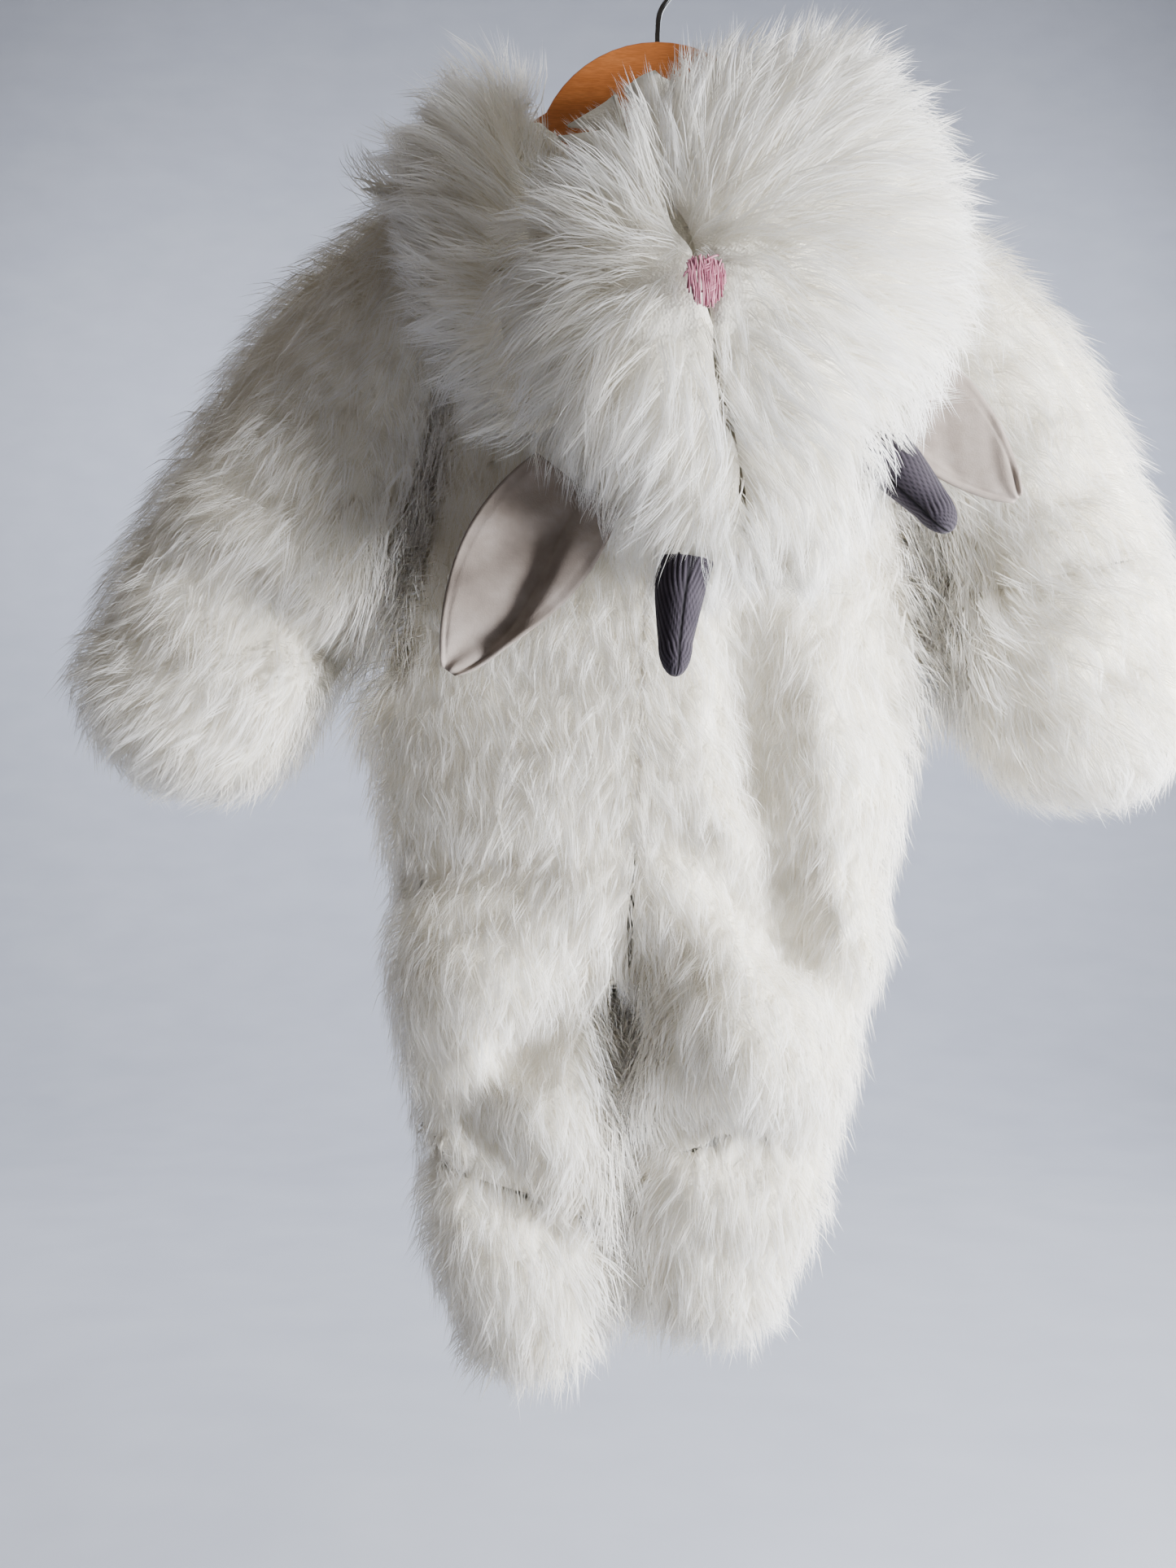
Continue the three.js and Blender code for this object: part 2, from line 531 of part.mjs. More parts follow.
// Body and legs
const torsoFold = { ...TORSO_GRID, folds: BODY_FOLDS };
const legFold = { ...LIMB_GRID, roundEnd: FOOT_ROUND, folds: BODY_FOLDS };
const bodyForm = (inset) => {
  const torso = form(upright(TORSO), { ...torsoFold, inset, roundEnd: CROTCH_ROUND });
  const left = form(upright(LEG_LEFT), { ...legFold, inset });
  const right = form(upright(LEG_RIGHT), { ...legFold, inset });
  return torso.add(left).add(right);
};
const liningForm = () => {
  const inset = BODY_WALL;
  const torso = form(upright(TORSO), {
    ...TORSO_LINING_GRID, inset, roundEnd: CROTCH_ROUND, carryOn: NECK_LINING_RISE,
  });
  const left = form(upright(LEG_LEFT), { ...LIMB_LINING_GRID, inset, roundEnd: FOOT_ROUND });
  const right = form(upright(LEG_RIGHT), { ...LIMB_LINING_GRID, inset, roundEnd: FOOT_ROUND });
  return torso.add(left).add(right);
};

const sleeveOuter = (rows, inset = 0) => form(rows, {
  ...LIMB_GRID, inset, roundEnd: MITT_ROUND, folds: SLEEVE_FOLDS,
});
const sleeveInner = (rows) => form(rows, { ...LIMB_LINING_GRID, roundEnd: MITT_ROUND, inset: BODY_WALL });

const body = bodyForm(0);
const bodyGrown = bodyForm(-SEAM);
const lining = liningForm();
const armLeft = sleeveInner(SLEEVE_LEFT);
const armRight = sleeveInner(SLEEVE_RIGHT);
const hangerGrown = hangerBlank(SEAM);
const suit = body.subtract(lining).subtract(armLeft).subtract(armRight).subtract(hangerGrown);

const place = ({ x, z }) => new THREE.Vector3(x, 0, z);
const down = (seam) => beyond(place(seam), alongOf(seam.tilt));
const up = (seam) => beyond(place(seam), alongOf(seam.tilt).negate());
const rightOf = (seam) => beyond(place(seam), acrossOf(seam.tilt));
const leftOf = (seam) => beyond(place(seam), acrossOf(seam.tilt).negate());
const backHalf = beyond(new THREE.Vector3(), new THREE.Vector3(0, -1, 0));
const frontHalf = beyond(new THREE.Vector3(), new THREE.Vector3(0, 1, 0));
const belowNeckline = (gap) => (
  beyond(new THREE.Vector3(...NECKLINE.point), new THREE.Vector3(...NECKLINE.below).normalize(), gap)
);
const backCut = belowNeckline(0).add(leftOf(SHOULDER_EDGE));

for (const [side, half, ankle, soleZ] of [
  ['left', leftOf(CENTRE_SEAM), ANKLE_LEFT, SOLE_LEFT_Z],
  ['right', rightOf(CENTRE_SEAM), ANKLE_RIGHT, SOLE_RIGHT_Z],
]) {
  const leg = suit.intersect(half);
  const panels = leg.intersect(up(ankle));
  const sole = { x: 0, z: soleZ, tilt: 0 };
  add(`back_${side}`, panels.intersect(backHalf).intersect(backCut), FUR);
  add(`front_${side}`, panels.intersect(frontHalf), FUR);
  add(`foot_${side}`, leg.intersect(down(ankle)).intersect(up(sole)), FUR);
  add(`sole_${side}`, leg.intersect(down(sole)), FUR);
}

// Sleeves, each ending in a closed mitten
const sleeves = [];
for (const [side, rows, arm, wrist] of [
  ['left', SLEEVE_LEFT, armLeft, WRIST_LEFT],
  ['right', SLEEVE_RIGHT, armRight, WRIST_RIGHT],
]) {
  const outer = sleeveOuter(rows);
  sleeves.push(outer);
  const sleeve = outer.subtract(arm).subtract(bodyGrown).subtract(hangerGrown);
  add(`sleeve_${side}`, sleeve.intersect(up(wrist)), FUR);
  add(`mitt_${side}`, sleeve.intersect(down(wrist)), FUR);
}

// Hood: the head part is hollow and open at the top, and its cheeks lie over the shoulders
const headForm = (inset) => form(upright(HOOD_HEAD), {
  ...HEAD_GRID, inset, roundEnd: CROWN_ROUND, folds: HOOD_FOLDS,
});
const headHollow = form(upright(HOOD_HEAD), {
  ...HEAD_LINING_GRID, inset: HOOD_WALL, roundEnd: CROWN_ROUND, carryOn: HOOD_MOUTH_RISE,
});
const cheekForm = (rows, inset) => form(upright(rows), {
  ...CHEEK_GRID, inset, roundTop: CHEEK_ROUND, roundEnd: CHEEK_ROUND,
});
const NECK = { left: -64, right: 64, back: -28, front: 28 };
const neckHole = form(upright([
  { z: -40, ...NECK },
  { z: -200, ...NECK },
]), { sides: 24, spacing: 160 });
const hoodForm = (inset) => {
  const nape = form(upright(NAPE), { ...NAPE_GRID, inset }).intersect(belowNeckline(inset));
  const cheeks = cheekForm(CHEEK_LEFT, inset).add(cheekForm(CHEEK_RIGHT, inset));
  const head = headForm(inset).intersect(beyond(place(MOUTH_EDGE), alongOf(MOUTH_EDGE.tilt), inset));
  return head.add(cheeks).add(nape);
};
const hoodGrown = hoodForm(-SEAM);
let hood = hoodForm(0).subtract(headHollow).subtract(neckHole).subtract(bodyGrown).subtract(hangerGrown);
for (const rows of [SLEEVE_LEFT, SLEEVE_RIGHT]) {
  hood = hood.subtract(sleeveOuter(rows, -SEAM));
}
add('hood_left', hood.intersect(leftOf(HOOD_SEAM)), HOOD_FUR);
add('hood_right', hood.intersect(rightOf(HOOD_SEAM)), HOOD_FUR);

const noseSkin = headForm(-SEAM - NOSE.thickness);
add('nose', nosePatch().intersect(noseSkin).subtract(hoodGrown), PINK_THREAD);

const hornLeft = form(HORN_LEFT, { ...HORN_GRID, roundEnd: HORN_ROUND });
const hornRight = form(HORN_RIGHT, { ...HORN_GRID, roundEnd: HORN_ROUND });
add('horn_left', hornLeft.subtract(hoodGrown).subtract(bodyGrown), CORDUROY);
add('horn_right', hornRight.subtract(hoodGrown).subtract(bodyGrown), CORDUROY);
add('ear_left', earLeaf(EAR_LEFT).subtract(hoodGrown).subtract(bodyGrown), SUEDE);
add('ear_right', earLeaf(EAR_RIGHT).subtract(hoodGrown).subtract(bodyGrown), SUEDE);

add('hanger', hangerBlank(0).subtract(hookWire(SEAM)), VARNISHED_WOOD);
add('hook', hookWire(0), CHROME_WIRE);

export default costume;
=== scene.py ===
# %% [markdown]
# # A goat costume in long white fur cloth, on its wooden hanger
#
# The costume hangs with its back to the viewer, and its hood hangs down over the back. Fur cloth is
# a thin knitted backing with long fibres in it. The eye sees the fibres, and they hide the backing
# and round off every seam. So each piece here is made twice: a thin shell for the backing, on the
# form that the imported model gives, and a separate mesh of fur locks that grow from it.
#
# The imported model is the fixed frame. Its cloth is a wall as thick as the lying pile, so its outer
# face is where the fur ends, and the backing lies inside that wall.

import math
import random

import bmesh
import bpy
import numpy as np
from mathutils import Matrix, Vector
from mathutils.bvhtree import BVHTree


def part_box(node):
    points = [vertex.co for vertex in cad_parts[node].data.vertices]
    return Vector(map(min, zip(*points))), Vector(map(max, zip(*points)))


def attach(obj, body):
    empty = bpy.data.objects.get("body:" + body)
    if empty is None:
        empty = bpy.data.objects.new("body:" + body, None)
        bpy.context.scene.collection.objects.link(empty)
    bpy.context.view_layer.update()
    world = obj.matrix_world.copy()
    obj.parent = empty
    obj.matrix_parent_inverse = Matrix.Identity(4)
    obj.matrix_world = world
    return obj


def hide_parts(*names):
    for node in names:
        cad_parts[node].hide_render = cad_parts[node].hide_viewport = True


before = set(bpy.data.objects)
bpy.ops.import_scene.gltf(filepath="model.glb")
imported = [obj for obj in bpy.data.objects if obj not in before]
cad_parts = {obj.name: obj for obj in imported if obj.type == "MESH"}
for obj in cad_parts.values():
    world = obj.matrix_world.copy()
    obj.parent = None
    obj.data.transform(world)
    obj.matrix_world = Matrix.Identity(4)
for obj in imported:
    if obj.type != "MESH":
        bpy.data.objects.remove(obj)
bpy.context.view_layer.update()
MM = 0.001

# %% [markdown]
# ## The camera and the room
#
# The photo is taken with a phone's main lens from close by. Its long side sees 67 degrees, and the
# hook wire and the ribs on the horns give 2.3 pixels to the millimetre at the costume. Both together
# put the lens 633 mm away, level, and a little to the left of the hook. A long lens from far away
# would be simpler, but then the hood, which stands forward, wouldn't look as large as it does.

# %% Camera, from the photo's own frame
PHOTO_WIDTH, PHOTO_HEIGHT = 1445, 1927
PIXELS_PER_MM = 2.3
HOOK_PIXEL_X = 807
WOOD_PIXEL_Y = 59
WOOD_TOP_MM = -66
LONG_SIDE_DEGREES = 67

focal_pixels = PHOTO_HEIGHT / 2 / math.tan(math.radians(LONG_SIDE_DEGREES / 2))
distance = focal_pixels / PIXELS_PER_MM * MM
camera_x = (PHOTO_WIDTH / 2 - HOOK_PIXEL_X) / PIXELS_PER_MM * MM
camera_z = (WOOD_TOP_MM - (PHOTO_HEIGHT / 2 - WOOD_PIXEL_Y) / PIXELS_PER_MM) * MM

camera = bpy.data.objects.new("camera", bpy.data.cameras.new("camera"))
bpy.context.scene.collection.objects.link(camera)
camera.location = (camera_x, -distance, camera_z)
camera.rotation_euler = (math.radians(90), 0, 0)
camera.data.sensor_fit = "VERTICAL"
camera.data.angle_y = math.radians(LONG_SIDE_DEGREES)
camera.data.clip_start = 0.01
bpy.context.scene.camera = camera
print("camera in mm:", [round(v / MM) for v in camera.location])


# %% [markdown]
# ## Small helpers
#
# Colours are read off as the usual hex numbers and turned into the linear values that a shader
# wants. One function adds any shader or geometry node, with its settings and links, so that each
# material below reads as a list of steps.

# %% Colours, nodes and objects
def linear(hex_colour):
    values = [int(hex_colour[i:i + 2], 16) / 255 for i in (1, 3, 5)]
    return tuple(v / 12.92 if v <= 0.04045 else ((v + 0.055) / 1.055) ** 2.4 for v in values) + (1.0,)


def add_node(tree, kind, settings=None, values=None, links=None):
    """Adds one node. settings are its own options, values its inputs, links what feeds an input.
    An input is called by its name, or by its number where several have the same name."""
    node = tree.nodes.new(kind)
    for name, value in (settings or {}).items():
        setattr(node, name, value)
    for name, value in (values or {}).items():
        node.inputs[name].default_value = value
    for name, source in (links or {}).items():
        tree.links.new(source, node.inputs[name])
    return node


def new_material(name, roughness, values=None):
    material = bpy.data.materials.new(name)
    material.use_nodes = True
    tree = material.node_tree
    shader = tree.nodes["Principled BSDF"]
    shader.inputs["Roughness"].default_value = roughness
    for key, value in (values or {}).items():
        shader.inputs[key].default_value = value
    return material, tree, shader


def in_scene(name, mesh):
    piece = bpy.data.objects.new(name, mesh)
    bpy.context.scene.collection.objects.link(piece)
    return piece


def mesh_object(name, vertices, faces, material):
    mesh = bpy.data.meshes.new(name)
    mesh.from_pydata([tuple(v) for v in vertices], [], faces)
    mesh.materials.append(material)
    mesh.validate()
    mesh.shade_smooth()
    return in_scene(name, mesh)


def add_values(mesh, name, values):
    """One number for each point of a mesh, which a material can read by its name."""
    mesh.attributes.new(name, "FLOAT", "POINT").data.foreach_set("value", values)


def add_vectors(mesh, name, values):
    mesh.attributes.new(name, "FLOAT_VECTOR", "POINT").data.foreach_set("vector", values)


def turn_faces_outward(mesh):
    bm = bmesh.new()
    bm.from_mesh(mesh)
    bmesh.ops.recalc_face_normals(bm, faces=bm.faces)
    bm.to_mesh(mesh)
    bm.free()


def take_the_place_of(node, piece):
    """The piece moves with the costume's one body and shows instead of the frame's own solid."""
    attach(piece, "root")
    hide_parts(node)


def on_the_piece(tree, kind, values):
    """A texture that is fixed to the piece, in metres."""
    coords = add_node(tree, "ShaderNodeTexCoord")
    return add_node(tree, kind, values=values, links={"Vector": coords.outputs["Object"]})


def multiply(tree, first, second, factor):
    mixed = add_node(tree, "ShaderNodeMix", {"data_type": "RGBA", "blend_type": "MULTIPLY"},
                     {"Factor": factor}, {6: first, 7: second})
    return mixed.outputs[2]


def add_bump(tree, shader, height, strength, distance):
    bump = add_node(tree, "ShaderNodeBump", values={"Strength": strength, "Distance": distance},
                    links={"Height": height})
    tree.links.new(bump.outputs["Normal"], shader.inputs["Normal"])


def colour_ramp(tree, source, stops):
    """A ramp from one colour to the next, at given places from 0 to 1."""
    ramp = add_node(tree, "ShaderNodeValToRGB", links={"Fac": source})
    elements = ramp.color_ramp.elements
    while len(elements) < len(stops):
        elements.new(0.5)
    for element, (position, colour) in zip(elements, stops):
        element.position = position
        element.color = linear(colour)
    return ramp.outputs["Color"]


# %% [markdown]
# ## A pale backdrop and soft light
#
# The photo's light comes from the right and a little in front, from something large like a window,
# and the left side falls into a warm grey shade. A big soft area light does this, with a weak one on
# the left that keeps the shade open. A floor that curves up into a wall, far behind, gives the
# pale grey-blue of the room without a line across the picture. The room itself gives only a weak warm
# light, but where the camera looks past the wall it sees the same pale grey.

# %% Backdrop, world and lights
FLOOR_Z, BACKDROP_TOP = -1.25, 3.2
FRONT_EDGE, WALL_Y, SWEEP_RADIUS = -3.5, 3.0, 1.2
HALF_WIDTH = 5.0
SWEEP_STEPS = 16

backdrop_material, backdrop_tree, backdrop_shader = new_material("painted_backdrop", 0.9)
speckle = add_node(backdrop_tree, "ShaderNodeTexNoise", values={"Scale": 60.0, "Detail": 3.0})
backdrop_tree.links.new(
    colour_ramp(backdrop_tree, speckle.outputs["Fac"], [(0.3, "#C3C7D2"), (0.7, "#CACED8")]),
    backdrop_shader.inputs["Base Color"],
)
profile = [(FRONT_EDGE, FLOOR_Z)]
for i in range(SWEEP_STEPS + 1):
    angle = math.pi / 2 * i / SWEEP_STEPS
    back, up = SWEEP_RADIUS * (1 - math.sin(angle)), SWEEP_RADIUS * (1 - math.cos(angle))
    profile.append((WALL_Y - back, FLOOR_Z + up))
profile.append((WALL_Y, BACKDROP_TOP))
points = [(x, y, z) for y, z in profile for x in (-HALF_WIDTH, HALF_WIDTH)]
strips = [(i, i + 1, i + 3, i + 2) for i in range(0, len(points) - 2, 2)]
mesh_object("backdrop", points, strips, backdrop_material)

world = bpy.data.worlds.new("pale_room")
world.use_nodes = True
dim_light = world.node_tree.nodes["Background"]
dim_light.inputs["Color"].default_value = linear("#E8D8C8")
dim_light.inputs["Strength"].default_value = 0.11
pale_wall = add_node(world.node_tree, "ShaderNodeBackground", values={"Color": linear("#BCC1CA")})
ray = add_node(world.node_tree, "ShaderNodeLightPath")
room = add_node(world.node_tree, "ShaderNodeMixShader", links={"Fac": ray.outputs["Is Camera Ray"]})
world.node_tree.links.new(dim_light.outputs["Background"], room.inputs[1])
world.node_tree.links.new(pale_wall.outputs["Background"], room.inputs[2])
world.node_tree.links.new(room.outputs["Shader"], world.node_tree.nodes["World Output"].inputs["Surface"])
bpy.context.scene.world = world

MIDDLE = Vector((0, 0, -0.42))
BACKDROP_MIDDLE = Vector((0, 3, -0.2))


def area_light(name, place, size, power, colour, target=MIDDLE):
    data = bpy.data.lights.new(name, "AREA")
    data.shape = "DISK"
    data.size = size
    data.energy = power
    data.color = linear(colour)[:3]
    lamp = bpy.data.objects.new(name, data)
    lamp.location = place
    lamp.rotation_euler = (target - Vector(place)).to_track_quat("-Z", "Y").to_euler()
    bpy.context.scene.collection.objects.link(lamp)


area_light("window_right", (1.07, -0.57, -0.5), 0.5, 76.0, "#F8FAFF")
area_light("fill_left", (-1.5, -1.4, -1.0), 1.2, 1.5, "#FFF4EC")
area_light("rear_right", (1.3, 1.5, 0.3), 1.3, 20.0, "#FFFFFF")
area_light("rear_left", (-1.3, 1.5, 0.2), 1.3, 8.0, "#FFFFFF")
area_light("top", (0.6, -0.5, 1.2), 0.8, 8.0, "#FFFFFF")
area_light("backdrop_right", (1.6, 1.3, 0.7), 1.4, 46.0, "#EEF3FF", BACKDROP_MIDDLE)
area_light("backdrop_left", (-1.6, 1.3, 0.7), 1.4, 36.0, "#EEF3FF", BACKDROP_MIDDLE)

# %% [markdown]
# ## Materials: the fur
#
# Acrylic pile is nearly white at its tips. Toward the backing its colour is painted slightly cream:
# painted shade, where the light has passed through more fibres. Each lock is a little different. Every
# lock carries two numbers for this: `along`, from root to tip, and `lock`, one random value for the
# whole lock. A fibre is clear plastic, so it lets about as much light through as it throws back, and white
# fur has no dark side.

# %% Fur material
LET_THROUGH = 0.42


def fur_material(name, root, middle, tip, roughness):
    material, tree, shader = new_material(name, roughness, {
        "Specular IOR Level": 0.3, "Sheen Weight": 0.15, "Sheen Roughness": 0.4, "IOR": 1.49,
    })
    along = add_node(tree, "ShaderNodeAttribute", {"attribute_name": "along"})
    lock = add_node(tree, "ShaderNodeAttribute", {"attribute_name": "lock"})
    # Painted shade: the pile is slightly cream at its roots, deep in the fur, and white at its tips.
    painted_root_shade = colour_ramp(tree, along.outputs["Fac"], [(0.0, root), (0.35, middle), (0.9, tip)])
    tint = colour_ramp(tree, lock.outputs["Fac"], [(0.0, "#F8F5EE"), (0.5, "#FDFCFA"), (1.0, "#FFFFFF")])
    colour = multiply(tree, painted_root_shade, tint, 1.0)
    tree.links.new(colour, shader.inputs["Base Color"])
    through = add_node(tree, "ShaderNodeBsdfTranslucent", links={"Color": colour})
    both = add_node(tree, "ShaderNodeMixShader", values={"Fac": LET_THROUGH})
    tree.links.new(shader.outputs["BSDF"], both.inputs[1])
    tree.links.new(through.outputs["BSDF"], both.inputs[2])
    tree.links.new(both.outputs["Shader"], tree.nodes["Material Output"].inputs["Surface"])
    return material


# The root colours below are painted shade deep in the pile.
body_fur = fur_material("acrylic_fur_ivory", "#F3EEE0", "#FBF9F4", "#FFFFFF", 0.6)
hood_fur = fur_material("acrylic_fur_long", "#F4F0E6", "#FBFAF6", "#FFFFFF", 0.5)

# %% [markdown]
# ## Materials: the knitted backing
#
# The backing is a fine knit with the pile's roots in it. It shows inside the neck, the hood and
# between locks. Its loops are about 1.2 mm apart, and a cell pattern of that size makes them as bump.

# %% Backing material
LOOP = 1.2 * MM
backing, tree, shader = new_material("knitted_backing", 0.9, {"Sheen Weight": 0.2})
loops = on_the_piece(tree, "ShaderNodeTexVoronoi", {"Scale": 1 / LOOP})
patchy = on_the_piece(tree, "ShaderNodeTexNoise", {"Scale": 40.0, "Detail": 3.0})
tree.links.new(
    colour_ramp(tree, patchy.outputs["Fac"], [(0.3, "#E6E0D0"), (0.7, "#F2EEE2")]),
    shader.inputs["Base Color"],
)
add_bump(tree, shader, loops.outputs["Distance"], 0.5, 0.4 * MM)

# %% [markdown]
# ## The backing shells
#
# Each fur panel of the frame is a thick wall. Its outer faces look away from the middle of the limb
# that it wraps, and its inner faces look toward it. So a short list of middle lines, one set for
# each panel, is enough to tell them apart. The outer faces are copied, rounded a little, and moved
# in to where the backing lies. Building the shells from new outlines would also work, but then they
# would have to be fitted to the frame.

# %% Middle lines of the limbs, in mm
def chain(*places):
    """Lines from place to place."""
    return list(zip(places, places[1:]))


def ladder(*rows):
    """Lines from each row to the next, at five places across. A row is its two ends."""
    return [
        tuple(tuple(a + (b - a) * share for a, b in zip(*row)) for row in two_rows)
        for two_rows in zip(rows, rows[1:])
        for share in (0, 0.25, 0.5, 0.75, 1)
    ]


LIMB_LINES = {
    "trunk": ladder(
        ((-62, -3, -120), (64, -3, -120)), ((-70, -3, -200), (76, -3, -200)),
        ((-72, -3, -330), (80, -3, -330)), ((-80, -3, -440), (66, -3, -440)),
        ((-70, -3, -500), (50, -3, -500)),
    ),
    "leg_left": chain((-82, -3, -530), (-82, -3, -600), (-76, -2, -690), (-70, 6, -752)),
    "leg_right": chain((52, -3, -530), (46, -3, -600), (38, -2, -680), (30, 8, -732)),
    "arm_left": chain((-100, -2, -186), (-158, -2, -244), (-190, -3, -303), (-242, -7, -418)),
    "arm_right": chain((106, -2, -190), (163, -4, -248), (194, -6, -308), (221, -9, -424)),
    "head": ladder(
        ((-8, -100, -140), (60, -100, -140)), ((-24, -112, -210), (80, -112, -210)),
        ((-20, -114, -290), (76, -114, -290)), ((10, -112, -338), (60, -112, -338)),
    ),
    "cheek_left": chain((-84, -16, -114), (-90, -40, -150), (-82, -64, -200), (-68, -76, -284)),
    "cheek_right": chain((89, -14, -94), (98, -30, -130), (104, -60, -180), (106, -74, -228)),
}


def nearest_on_lines(point, names):
    """The nearest point on the middle lines of the named limbs, all in metres."""
    best, best_distance = None, 1e9
    for name in names:
        for start, end in LIMB_LINES[name]:
            a, b = Vector(start) * MM, Vector(end) * MM
            share = (point - a).dot(b - a) / max((b - a).length_squared, 1e-12)
            on_line = a + (b - a) * min(max(share, 0), 1)
            gap = (point - on_line).length
            if gap < best_distance:
                best, best_distance = on_line, gap
    return best


# %% [markdown]
# ## Creases that the frame leaves out
#
# The frame has the largest folds. The photo shows smaller ones too, where the cloth is pushed down
# on itself at the seat, the knees and the ankles. Each is a soft trough between two places, given
# as x and z, how deep, and how wide, all in mm. A minus depth is a ridge. The hidden side has a
# few of the same kind. Troughs that cross add up, but only to the deepest that such thick cloth makes.

# %% Table of small creases
CREASES = {
    # x1, z1, x2, z2, depth, width
    "back": [
        (39, -378, 53, -468, 15.0, 15), (53, -468, 72, -534, 13.0, 14),
        (80, -392, 94, -480, -6.0, 20), (22, -400, 34, -462, -3.0, 14),
        (-96, -398, -40, -410, 5.0, 12), (-132, -496, -62, -500, 8.0, 10),
        (-128, -522, -70, -526, 7.0, 9), (-58, -494, 12, -486, 8.0, 11),
        (14, -488, 98, -568, 13.0, 13), (-18, -508, -17, -600, 8.0, 10),
        (84, -402, 128, -424, 5.0, 11), (-112, -560, -52, -560, -5.0, 14),
        (-48, -574, -88, -612, 16.0, 15), (-120, -622, -68, -650, 14.0, 13),
        (-78, -628, -46, -612, -6.0, 16), (10, -560, 60, -600, -7.0, 22),
        (-8, -634, 80, -644, 14.0, 12), (76, -590, 108, -572, 6.0, 10),
        (-126, -590, -104, -600, 6.0, 10), (10, -690, 62, -700, 5.0, 11),
        (-122, -651, -46, -680, 9.0, 11), (-208, -362, -158, -396, 14.0, 13),
        (-158, -396, -132, -386, 11.0, 11), (-226, -300, -186, -318, 6.0, 12),
        (-282, -372, -238, -400, 5.0, 13), (-236, -430, -196, -440, 5.0, 12),
        (226, -300, 190, -318, 5.0, 12), (250, -392, 206, -410, 6.0, 12),
    ],
    "front": [
        (-110, -360, -50, -374, 7.0, 12), (120, -350, 60, -368, 8.0, 12),
        (-126, -452, -60, -462, 9.0, 11), (114, -446, 50, -460, 8.0, 11),
        (-120, -560, -60, -552, 9.0, 12), (104, -556, 40, -548, 8.0, 11),
        (-110, -690, -50, -700, 6.0, 11), (84, -676, 20, -688, 6.0, 11),
    ],
}
DEEPEST_CREASE = 17


def crease_depth(point):
    """How far the creases near a point set it in, in metres."""
    side = "back" if point.y < 0 else "front"
    x, z = point.x / MM, point.z / MM
    depth = 0.0
    for x1, z1, x2, z2, deep, width in CREASES[side]:
        dx, dz = x2 - x1, z2 - z1
        share = min(max(((x - x1) * dx + (z - z1) * dz) / (dx * dx + dz * dz), 0), 1)
        off = math.hypot(x - x1 - share * dx, z - z1 - share * dz)
        depth += deep * math.sin(math.pi * (0.15 + 0.7 * share)) * math.exp(-((off / width) ** 2))
    return min(depth, DEEPEST_CREASE) * MM


# %% [markdown]
# ## From a frame node to a backing shell
#
# A node's mesh is loose triangles, so a copy of it is merged first. Long edges are split and the
# points eased toward their neighbours, which rounds the flat facets off. How far the shell may move
# in is measured with a ray through the wall, so it never leaves the space that the wall holds.

# %% The cut edges, and the walls of all pieces
COVER_REACH = 2.0 * MM
OFF_THE_CLOTH = 0.4 * MM
CUT_SLACK = 0.8 * MM
# Each edge: a point on it in mm, and the way from the edge into the cloth.
MOUTH_EDGE = (Vector((7, -134, -154)), Vector((0.643, 0, -0.766)))
MOUTH_TOP = (Vector((0, -134, -140)), Vector((0, 0, -1)))
NECKLINE = (Vector((-46, -57, -149)), Vector((0.466, 0.425, -0.776)).normalized())


def merged_copy(node):
    bm = bmesh.new()
    bm.from_mesh(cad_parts[node].data)
    bmesh.ops.remove_doubles(bm, verts=bm.verts, dist=1e-5)
    return bm


WALLS = {}
for node_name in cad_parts:
    copy = merged_copy(node_name)
    WALLS[node_name] = BVHTree.FromBMesh(copy)
    copy.free()
COVERING = [name for name in WALLS if name.startswith(("back", "front", "sleeve", "mitt", "hood"))]


def covered(point, normal, reach):
    """Whether another piece lies close over this point, so that no fur has room there."""
    start = point + normal * OFF_THE_CLOTH
    return any(WALLS[node].ray_cast(start, normal, reach)[0] is not None for node in COVERING)


def on_cut(face, centre):
    """Whether a face is the cut edge of the cloth at the face opening or the neckline."""
    return any(
        abs((centre - place * MM).dot(inward)) < CUT_SLACK and abs(face.normal.dot(inward)) > 0.98
        for place, inward in (MOUTH_EDGE, NECKLINE)
    )


# %% [markdown]
# ## Where the pile closes a gap
#
# Under the arms and between the legs, two parts of the costume hang side by side. The photo shows no
# wall between them, because the pile of both fills the gap. So on cloth that faces such a gap the
# backing lies nearer to the surface and the pile is longer. Moving the limbs together would do it
# too, but their places are the frame's.

# %% Find cloth that faces a gap
# Each gap: the middle x and z, half the width and half the height, in mm.
GAPS = [(-18, -640, 34, 120), (-116, -262, 30, 60), (-146, -350, 34, 90), (146, -340, 34, 105)]
GAP_FILL = 0.6


def near_gap(point, normal):
    """1 on cloth that faces another part of the costume close beside it, and 0 away from there."""
    x, y, z = point / MM
    near = max(1 - ((x - across) / wide) ** 2 - ((z - up) / high) ** 2 for across, up, wide, high in GAPS)
    return min(max(near, 0) * 2, 1) * normal.x ** 2


# %% [markdown]
# ## The skin that the pile grows from
#
# The outer faces of a node are copied and moved in along their normals, at most through the wall. Near
# the nose they stay closer to the surface, because the stitches pull the pile short there. A sole's
# edge turns in and up, since the foot's own pile hangs over it.

# %% Turn a sole's edge in
SOLE_EDGE_IN, SOLE_EDGE_UP = 8.0 * MM, 7.0 * MM


def draw_in_the_edge(bm):
    """A sole lies under the pile of the foot round it, so its edge turns in and up into the foot."""
    middle = sum((v.co for v in bm.verts), Vector()) / len(bm.verts)
    level = [Vector((v.co.x - middle.x, v.co.y - middle.y, 0)) for v in bm.verts]
    widest = max(out.length for out in level)
    for vertex, out in zip(bm.verts, level):
        share = (out.length / widest) ** 2
        vertex.co += Vector((0, 0, SOLE_EDGE_UP * share)) - out.normalized() * SOLE_EDGE_IN * share


# %% Build one skin
NOSE_PLACE = Vector((9, -168, -262)) * MM
NOSE_REACH = 24 * MM
BACKING_THICK = 2.0 * MM
LONGEST_EDGE = 11.0 * MM
FACES_OUT = 0.3
RAY_START = 0.3 * MM
SPARE = 0.8 * MM


